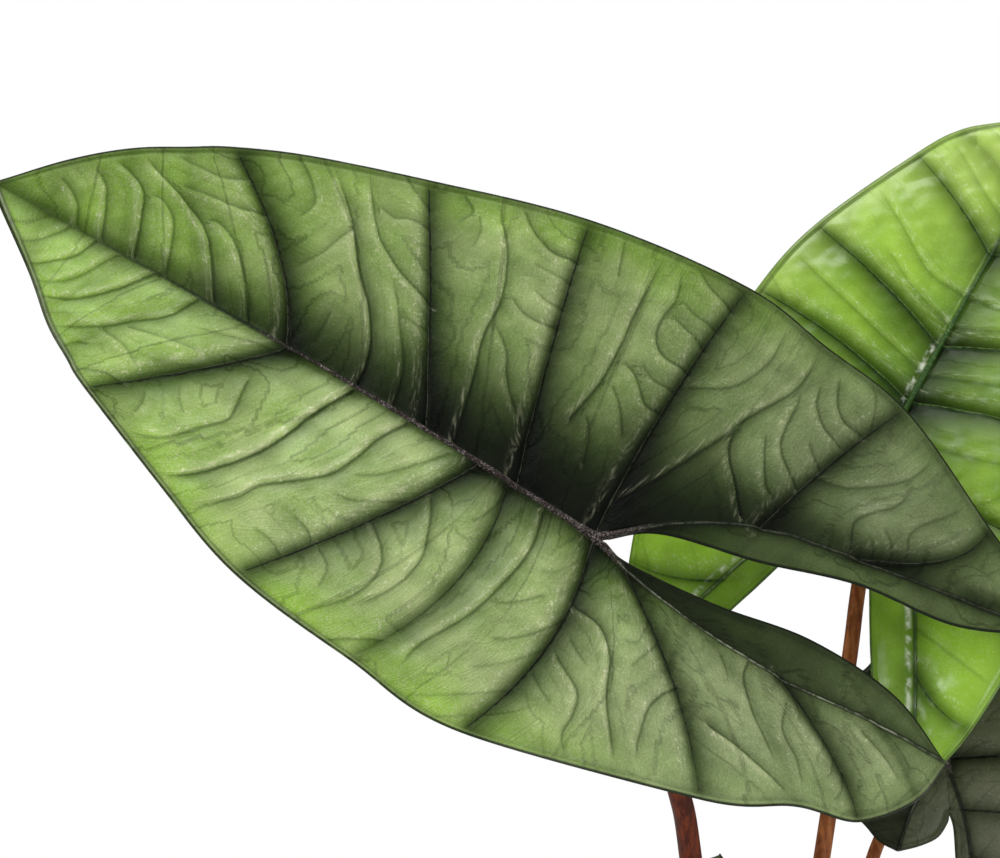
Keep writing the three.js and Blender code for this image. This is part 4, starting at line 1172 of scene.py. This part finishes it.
    height = times(group, sand, 0.3)
    for mask, amount in ((crumple, 0.7), (wrinkle, 0.4), (mainLine, -0.8), (twigDarkAndShade, -0.3), (streak, 0.25)):
        height = calc(group, "MULTIPLY_ADD", mask, amount, height)
    masks = {"Main line": mainLine, "Twig dark and shade": twigDarkAndShade, "Glint": glint, "Painted highlight": paintedHighlight, "Rib line": ribLine,
             "Rib glint": ribGlint, "Rim dark": darkRim, "Rim pale": paleRim, "Sand": sand,
             "Crumple": crumple, "Cloud": cloud, "Wrinkle": wrinkle, "Streak": streak, "Height": height}
    for name in masks:
        group.interface.new_socket(name=name, in_out="OUTPUT", socket_type="NodeSocketFloat")
    out = group.nodes.new("NodeGroupOutput")
    for name, value in masks.items():
        group.links.new(value, out.inputs[name])
    return group


def bladeLook(name, veins, colors, gloss, bump):
    look, tree, shader = newTree(name)
    node = tree.nodes.new("ShaderNodeGroup")
    node.node_tree = veins
    for key in veinSettings:
        node.inputs[key].default_value = colors[key]
    mask = {output.name: output for output in node.outputs}
    x, _, lower = readAttribute(tree, "plan")
    darkness, crest, which = readAttribute(tree, "tones")
    darkness = calc(tree, "ADD", darkness, mask["Twig dark and shade"])
    ribGap, rim, cord = readAttribute(tree, "edges")
    # Lime towards the tip and the edge, sage in the field
    nearRim = spread(tree, rim, 26, 3, 0, colors["limeRim"])
    lime = calc(tree, "MAXIMUM", spread(tree, x, *colors["limeFrom"]), nearRim)
    lime = times(tree, lime, spread(tree, mask["Cloud"], 0.3, 0.62, 0.5, 1))
    base = blendColors(tree, spread(tree, mask["Cloud"], 0.35, 0.65), colors["field"], colors["fieldDeep"])
    base = blendColors(tree, lime, base, colors["lime"])
    base = blendColors(tree, spread(tree, x, 0.1, -0.3, 0, 0.7), base, colors["lobe"])
    # Silver patina in a fine sandy grain, then painted highlight: silver streaks on the panel crests and foil
    # wrinkles
    sandy = times(tree, spread(tree, mask["Sand"], 0.42, 0.68), colors["sandAmount"])
    base = blendColors(tree, sandy, base, colors["silverAndSheen"])
    crestSheen = times(tree, crest, calc(tree, "MULTIPLY_ADD", mask["Streak"], 0.75, 0.25))
    crestSheen = calc(tree, "MAXIMUM", crestSheen, mask["Wrinkle"])
    crestSheen = calc(tree, "MULTIPLY", crestSheen, colors["crestSheenAmount"], clamp=True)
    base = blendColors(tree, crestSheen, base, colors["silverAndSheen"])
    # Painted highlight: pale sparkle on the crests
    highlightShare = times(tree, mask["Painted highlight"], spread(tree, crest, 0.02, 0.5, 0.05, colors["paintedHighlightAmount"]))
    base = blendColors(tree, highlightShare, base, colors["paintedHighlight"])
    # Darkness, the veins' dark colour and painted shade alike, multiplies the colour, a little less in the
    # green
    darkening = tree.nodes.new("ShaderNodeCombineXYZ")
    for socket, amount in zip(darkening.inputs, (-1.0, -0.92, -1.08)):
        put(tree, socket, calc(tree, "EXPONENT", times(tree, darkness, amount)))
    base = blendColors(tree, 1.0, base, darkening.outputs[0], "MULTIPLY")
    # Painted sheen on the crests, laid on after the darkness so that it shows in the dark too
    paintedSheen = times(tree, spread(tree, crest, 0.25, 1.0, 0, 0.32), mask["Streak"], mask["Crumple"])
    base = blendColors(tree, paintedSheen, base, colors["paintedHighlight"])
    # The upper half's rim bead takes a darker colour: painted shade.
    rimPale = blendColors(tree, which, colors["rimPale"], colors["rimPaleInShade"])
    lines = (("Rim pale", rimPale), ("Rim dark", colors["line"]), ("Main line", colors["line"]),
             ("Glint", colors["glint"]), ("Rib line", colors["line"]), ("Rib glint", colors["ribGlint"]))
    for key, color in lines:
        base = blendColors(tree, mask[key], base, color)
    if colors["paintedGloss"]:
        # Painted highlights: white glints beside the midrib and the lobe ribs, on one side of them
        glossGap = times(tree, ribGap, spread(tree, which, 0, 1, 1, -1, smooth=False))
        patches = spread(tree, speckle(tree, 4, 2, 0.5), 0.42, 0.66, 0, colors["paintedGloss"])
        paintedGloss = times(tree, spread(tree, apart(tree, glossGap, 2.5), 0.0, 1.7, 1, 0), patches,
                    spread(tree, x, 0.45, 0.3))
        base = blendColors(tree, paintedGloss, base, colors["paintedGlossColor"])
    # The thick midrib is dark with silvery grains, most of them at the junction
    atKnot = spread(tree, calc(tree, "ABSOLUTE", x), 0.03, 0.005, 0.3, 1)
    patches = calc(tree, "MAXIMUM", atKnot, spread(tree, mask["Crumple"], 0.42, 0.6))
    silvery = times(tree, spread(tree, speckle(tree, 0.6, 3, 0.7), 0.48, 0.62, 0, 1), patches)
    base = blendColors(tree, cord, base, blendColors(tree, silvery, colors["cord"], colors["cordPale"]))
    under = blendColors(tree, spread(tree, mask["Sand"], 0.35, 0.65), colors["under"], colors["underPale"])
    under = blendColors(tree, 1.0, under, darkening.outputs[0], "MULTIPLY")
    rough = spread(tree, mask["Sand"], 0.3, 0.7, *gloss["rough"], smooth=False)
    rough = calc(tree, "MULTIPLY_ADD", darkness, 0.03, rough)
    dress(tree, shader, blendColors(tree, lower, base, under), rough, mask["Height"], bump)
    # The light parts are waxy in patches, the dark ones matt
    waxy = spread(tree, mask["Cloud"], 0.4, 0.62, *gloss["wax"])
    put(tree, shader.inputs["Coat Weight"], times(tree, waxy, spread(tree, darkness, 0.1, 1.4, 1, 0)))
    shader.inputs["Coat Roughness"].default_value = gloss["waxRoughness"]
    shader.inputs["Specular IOR Level"].default_value = gloss["specular"]
    return look


stalkColors = {"dark": ((0.07, 0.013, 0.005), (0.215, 0.04, 0.013)),
               "bright": ((0.21, 0.056, 0.015), (0.42, 0.143, 0.044)), "foot": (0.09, 0.13, 0.03)}


def stalkLook(name, dark, light):
    look, tree, shader = newTree(name)
    _, along, _ = readAttribute(tree, "tube")
    streaks = speckle(tree, 3, 4, 0.65, squash=(1.6, 1.6, 0.12))
    blotch = speckle(tree, 9, 3, 0.6)
    base = blendColors(tree, spread(tree, streaks, 0.35, 0.68), dark, light)
    base = blendColors(tree, spread(tree, blotch, 0.5, 0.7, 0, 0.5), base, tuple(0.45 * c for c in dark))
    base = blendColors(tree, spread(tree, along, 0.16, 0.02, 0, 0.75), base, stalkColors["foot"])
    height = calc(tree, "ADD", streaks, speckle(tree, 0.6, 2))
    dress(tree, shader, base, spread(tree, streaks, 0.3, 0.7, 0.36, 0.55), height, 0.18)
    shader.inputs["Specular IOR Level"].default_value = 0.2
    return look


rolledColors = {"deep": (0.24, 0.38, 0.07), "pale": (0.42, 0.56, 0.16), "foot": (0.30, 0.28, 0.13)}


def rolledLook():
    look, tree, shader = newTree("rolled leaf")
    _, along, _ = readAttribute(tree, "tube")
    streaks = speckle(tree, 2.5, 4, 0.6, squash=(1.5, 1.5, 0.15))
    base = blendColors(tree, spread(tree, streaks, 0.35, 0.65), rolledColors["deep"], rolledColors["pale"])
    base = blendColors(tree, spread(tree, along, 0.3, 0.05, 0, 0.8), base, rolledColors["foot"])
    dress(tree, shader, base, spread(tree, streaks, 0.3, 0.7, 0.28, 0.42), streaks, 0.15)
    return look


stemColors = {"dark": (0.10, 0.065, 0.035), "light": (0.27, 0.2, 0.115), "scar": (0.36, 0.29, 0.18),
              "green": (0.10, 0.13, 0.035)}


def stemLook():
    look, tree, shader = newTree("stem")
    _, _, scar = readAttribute(tree, "tube")
    fibre = speckle(tree, 1.6, 5, 0.7, squash=(1, 1, 0.3))
    base = blendColors(tree, spread(tree, fibre, 0.35, 0.65), stemColors["dark"], stemColors["light"])
    base = blendColors(tree, spread(tree, scar, 0.1, 0.9, 0, 0.6), base, stemColors["scar"])
    base = blendColors(tree, spread(tree, speckle(tree, 7, 3), 0.5, 0.66, 0, 0.5), base, stemColors["green"])
    dress(tree, shader, base, spread(tree, fibre, 0.3, 0.7, 0.62, 0.9), fibre, 0.7)
    return look


potColors = {"dark": (0.022, 0.023, 0.024), "light": (0.04, 0.04, 0.04), "dust": (0.16, 0.135, 0.11)}


def potLook():
    look, tree, shader = newTree("moulded plastic")
    grain = speckle(tree, 0.45, 2, 0.6)
    wipe = speckle(tree, 38, 4, 0.6, squash=(1, 1, 0.5))
    base = blendColors(tree, spread(tree, wipe, 0.35, 0.7), potColors["dark"], potColors["light"])
    position = tree.nodes.new("ShaderNodeSeparateXYZ")
    tree.links.new(tree.nodes.new("ShaderNodeTexCoord").outputs["Object"], position.inputs[0])
    low = spread(tree, position.outputs[2], 0.03, 0.0, 0, 0.35)
    base = blendColors(tree, times(tree, low, spread(tree, wipe, 0.4, 0.6)), base, potColors["dust"])
    dress(tree, shader, base, spread(tree, calc(tree, "ADD", grain, wipe), 0.6, 1.4, 0.42, 0.62), grain, 0.12)
    return look


# Dark and light colour, and the size of the crumbs
soilLooks = {
    "potting mix": ((0.022, 0.013, 0.008), (0.085, 0.052, 0.03), 2.2),
    "bark": ((0.05, 0.026, 0.014), (0.2, 0.115, 0.06), 1.4),
    "perlite": ((0.5, 0.49, 0.46), (0.75, 0.74, 0.71), 1.0),
}


def soilLook(name):
    look, tree, shader = newTree(name)
    dark, light, size = soilLooks[name]
    crumb = speckle(tree, size, 6, 0.75)
    patch = speckle(tree, size * 6, 3, 0.6)
    base = blendColors(tree, spread(tree, crumb, 0.35, 0.68), dark, light)
    base = blendColors(tree, spread(tree, patch, 0.45, 0.7, 0, 0.6), base, tuple(0.4 * c for c in dark))
    dress(tree, shader, base, spread(tree, crumb, 0.3, 0.7, 0.78, 0.98), crumb, 1.2)
    return look


def floorLook():
    look, tree, shader = newTree("studio floor")
    wash = spread(tree, speckle(tree, 300, 3, 0.5), 0.3, 0.7)
    color = studio["floorColor"]
    put(tree, shader.inputs["Base Color"], blendColors(tree, wash, color, tuple(0.97 * c for c in color)))
    shader.inputs["Roughness"].default_value = 0.75
    return look


# Colours of the three kinds of blade, and how strong each mask shows. The shaded blade's colours are grown
# colours made darker and greyer: painted shade.
grownColors = {
    "field": (0.24, 0.315, 0.115), "fieldDeep": (0.17, 0.26, 0.065), "lime": (0.19, 0.345, 0.022),
    "silverAndSheen": (0.46, 0.49, 0.28), "line": (0.006, 0.009, 0.004),
    "rimPale": (0.16, 0.185, 0.11), "rimPaleInShade": (0.13, 0.155, 0.085), "cord": (0.02, 0.014, 0.012),
    "cordPale": (0.19, 0.165, 0.155), "ribGlint": (0.26, 0.28, 0.19), "under": (0.17, 0.25, 0.09),
    "underPale": (0.24, 0.33, 0.14), "limeFrom": (0.3, 0.95), "limeRim": 0.8, "sandAmount": 0.25,
    "crestSheenAmount": 0.65, "glint": (0.1, 0.105, 0.075), "paintedHighlight": (0.66, 0.66, 0.45), "paintedHighlightAmount": 0.45,
    "lobe": (0.215, 0.27, 0.13), "paintedGloss": 0, "Twig dark and shade": 2.2, "Wrinkles": 0.3, "Rim ink": 0.9, "Waver": 1.8,
}
youngColors = {
    "field": (0.235, 0.41, 0.03), "fieldDeep": (0.165, 0.33, 0.018), "lime": (0.38, 0.54, 0.1),
    "silverAndSheen": (0.5, 0.6, 0.25), "line": (0.012, 0.035, 0.006),
    "rimPale": (0.14, 0.22, 0.04), "rimPaleInShade": (0.14, 0.22, 0.04), "cord": (0.02, 0.06, 0.01),
    "cordPale": (0.1, 0.18, 0.04), "ribGlint": (0.3, 0.4, 0.2), "under": (0.2, 0.33, 0.08),
    "underPale": (0.28, 0.42, 0.12), "limeFrom": (0.3, 0.95), "limeRim": 0.6, "sandAmount": 0.1,
    "crestSheenAmount": 0.4, "glint": (0.12, 0.22, 0.05), "paintedHighlight": (0.7, 0.8, 0.5), "paintedHighlightAmount": 0.3,
    "lobe": (0.22, 0.43, 0.02), "paintedGloss": 0.6, "paintedGlossColor": (0.85, 0.9, 0.75),
    "Twig dark and shade": 1.4, "Wrinkles": 0.3, "Rim ink": 0.5, "Waver": 1.4,
}
shadedColors = {
    "field": (0.16, 0.175, 0.1), "fieldDeep": (0.11, 0.125, 0.065), "lime": (0.12, 0.15, 0.06),
    "silverAndSheen": (0.26, 0.27, 0.2), "line": (0.005, 0.007, 0.004),
    "rimPale": (0.05, 0.055, 0.035), "rimPaleInShade": (0.04, 0.045, 0.028), "cord": (0.04, 0.035, 0.03),
    "cordPale": (0.2, 0.19, 0.17), "ribGlint": (0.1, 0.1, 0.08), "under": (0.1, 0.12, 0.07),
    "underPale": (0.14, 0.16, 0.1), "limeFrom": (0.6, 1.0), "limeRim": 0.2, "sandAmount": 0.35,
    "crestSheenAmount": 0.35, "glint": (0.06, 0.065, 0.05), "paintedHighlight": (0.4, 0.4, 0.32), "paintedHighlightAmount": 0.4,
    "lobe": (0.16, 0.175, 0.11), "paintedGloss": 0, "Twig dark and shade": 1.8, "Wrinkles": 0.5, "Rim ink": 0.35, "Waver": 1.8,
}

grownGloss = {"rough": (0.38, 0.52), "specular": 0.12, "wax": (0.05, 0.4), "waxRoughness": 0.34}
youngGloss = {"rough": (0.3, 0.38), "specular": 0.2, "wax": (0.1, 0.8), "waxRoughness": 0.2}
shadedGloss = {**grownGloss, "rough": (0.4, 0.52)}


# Studio and camera

# Each lamp: name, place in metres, width and power
studio = {
    "floorRadius": 1.45, "floorColor": (0.86, 0.86, 0.85), "skyLight": 0.42, "glossySkyLight": 0.12,
    "lamps": [("key", (-1.1, -1.0, 1.5), 0.9, 15), ("top", (0.1, -0.1, 2.0), 1.1, 17),
              ("fill", (1.2, -1.4, 0.5), 0.8, 7), ("rim", (0.4, 1.6, 1.2), 1.0, 5)],
    "aim": (0, 0, 0.4),
}


def makeStudio():
    pickNothing()
    bpy.ops.mesh.primitive_circle_add(
        vertices=160, radius=studio["floorRadius"], fill_type="NGON", location=(0, 0, -0.0005))
    floor = bpy.context.active_object
    floor.name = "studio_floor"
    floor.data.materials.append(floorLook())
    world = bpy.data.worlds.new("studio")
    world.use_nodes = True
    tree = world.node_tree
    tree.nodes.clear()
    seen, lit = tree.nodes.new("ShaderNodeBackground"), tree.nodes.new("ShaderNodeBackground")
    seen.inputs["Color"].default_value = (1, 1, 1, 1)
    lit.inputs["Color"].default_value = (1, 1, 1, 1)
    either = tree.nodes.new("ShaderNodeMixShader")
    path = tree.nodes.new("ShaderNodeLightPath")
    tree.links.new(path.outputs["Is Camera Ray"], either.inputs[0])
    # Shiny surfaces see a dimmer sky than matt ones, so that the leaves keep their colour
    strengths = studio["skyLight"], studio["glossySkyLight"]
    put(tree, lit.inputs["Strength"], spread(tree, path.outputs["Is Glossy Ray"], 0.0, 1.0, *strengths))
    tree.links.new(lit.outputs[0], either.inputs[1])
    tree.links.new(seen.outputs[0], either.inputs[2])
    tree.links.new(either.outputs[0], tree.nodes.new("ShaderNodeOutputWorld").inputs[0])
    bpy.context.scene.world = world
    bpy.context.scene.view_settings.view_transform = "Standard"
    for name, place, size, power in studio["lamps"]:
        bpy.ops.object.light_add(type="AREA", location=place)
        lamp = bpy.context.active_object
        lamp.name = lamp.data.name = name
        lamp.data.size = size
        lamp.data.energy = power
        aim = Vector(studio["aim"]) - Vector(place)
        lamp.rotation_euler = aim.to_track_quat("-Z", "Y").to_euler()


# The photograph's view: metres away, degrees down, and how wide the picture is at the plant
view = {"target": (-94, -60, 501), "distance": 2000, "pitch": 7, "pictureWidth": 350, "sensor": 36}


def makeCamera():
    pitch = math.radians(view["pitch"])
    back = Vector((0, -math.cos(pitch), math.sin(pitch)))
    place = (Vector(view["target"]) + back * view["distance"]) * mm
    bpy.ops.object.camera_add(location=place, rotation=(math.pi / 2 - pitch, 0, 0))
    camera = bpy.context.active_object
    camera.data.sensor_width = view["sensor"]
    camera.data.lens = view["sensor"] * view["distance"] / view["pictureWidth"]
    camera.data.clip_end = 50
    bpy.context.scene.camera = camera


makeCamera()
makeStudio()
print("camera and studio set")

veins = veinGroup()
bladeLooks = {
    "grown": (bladeLook("grown blade", veins, grownColors, grownGloss, 0.45), "grown_leaf"),
    "young": (bladeLook("young blade", veins, youngColors, youngGloss, 0.12), "young_leaf"),
    "shaded": (bladeLook("shaded blade", veins, shadedColors, shadedGloss, 0.35), "shaded_leaf"),
}
stalkLooks = {
    "dark": stalkLook("dark stalk", *stalkColors["dark"]),
    "bright": stalkLook("red stalk", *stalkColors["bright"]),
}
print("materials made")

for number, (leafName, leaf) in enumerate(leaves.items()):
    piece = makeBlade("blade_" + leafName, leaf, 10 * number + 3)
    look, slotName = bladeLooks[leaf["look"]]
    finishPiece(piece, slotName, look, "leaf_" + leafName)
    stalkPiece = makeStalk("petiole_" + leafName, leaf, number)
    finishPiece(stalkPiece, "stalk", stalkLooks[leaf["stalkLook"]], "stalk_" + leafName)
    print("leaf", leafName, "made,", len(piece.data.polygons), "faces")

finishPiece(makeRolledLeaf(), "young_leaf", rolledLook(), "rolled_new_leaf")
finishPiece(makeStem(), "stem", stemLook(), "stem_base")
finishPiece(makePot(), "pot", potLook(), "pot")
finishPiece(makeSoil(), "soil", soilLook("potting mix"), "potting_soil")
for bitName, kind in bits.items():
    finishPiece(scatterBits(bitName, kind), "soil", soilLook(kind["look"]))
print("pot, soil and stem made")
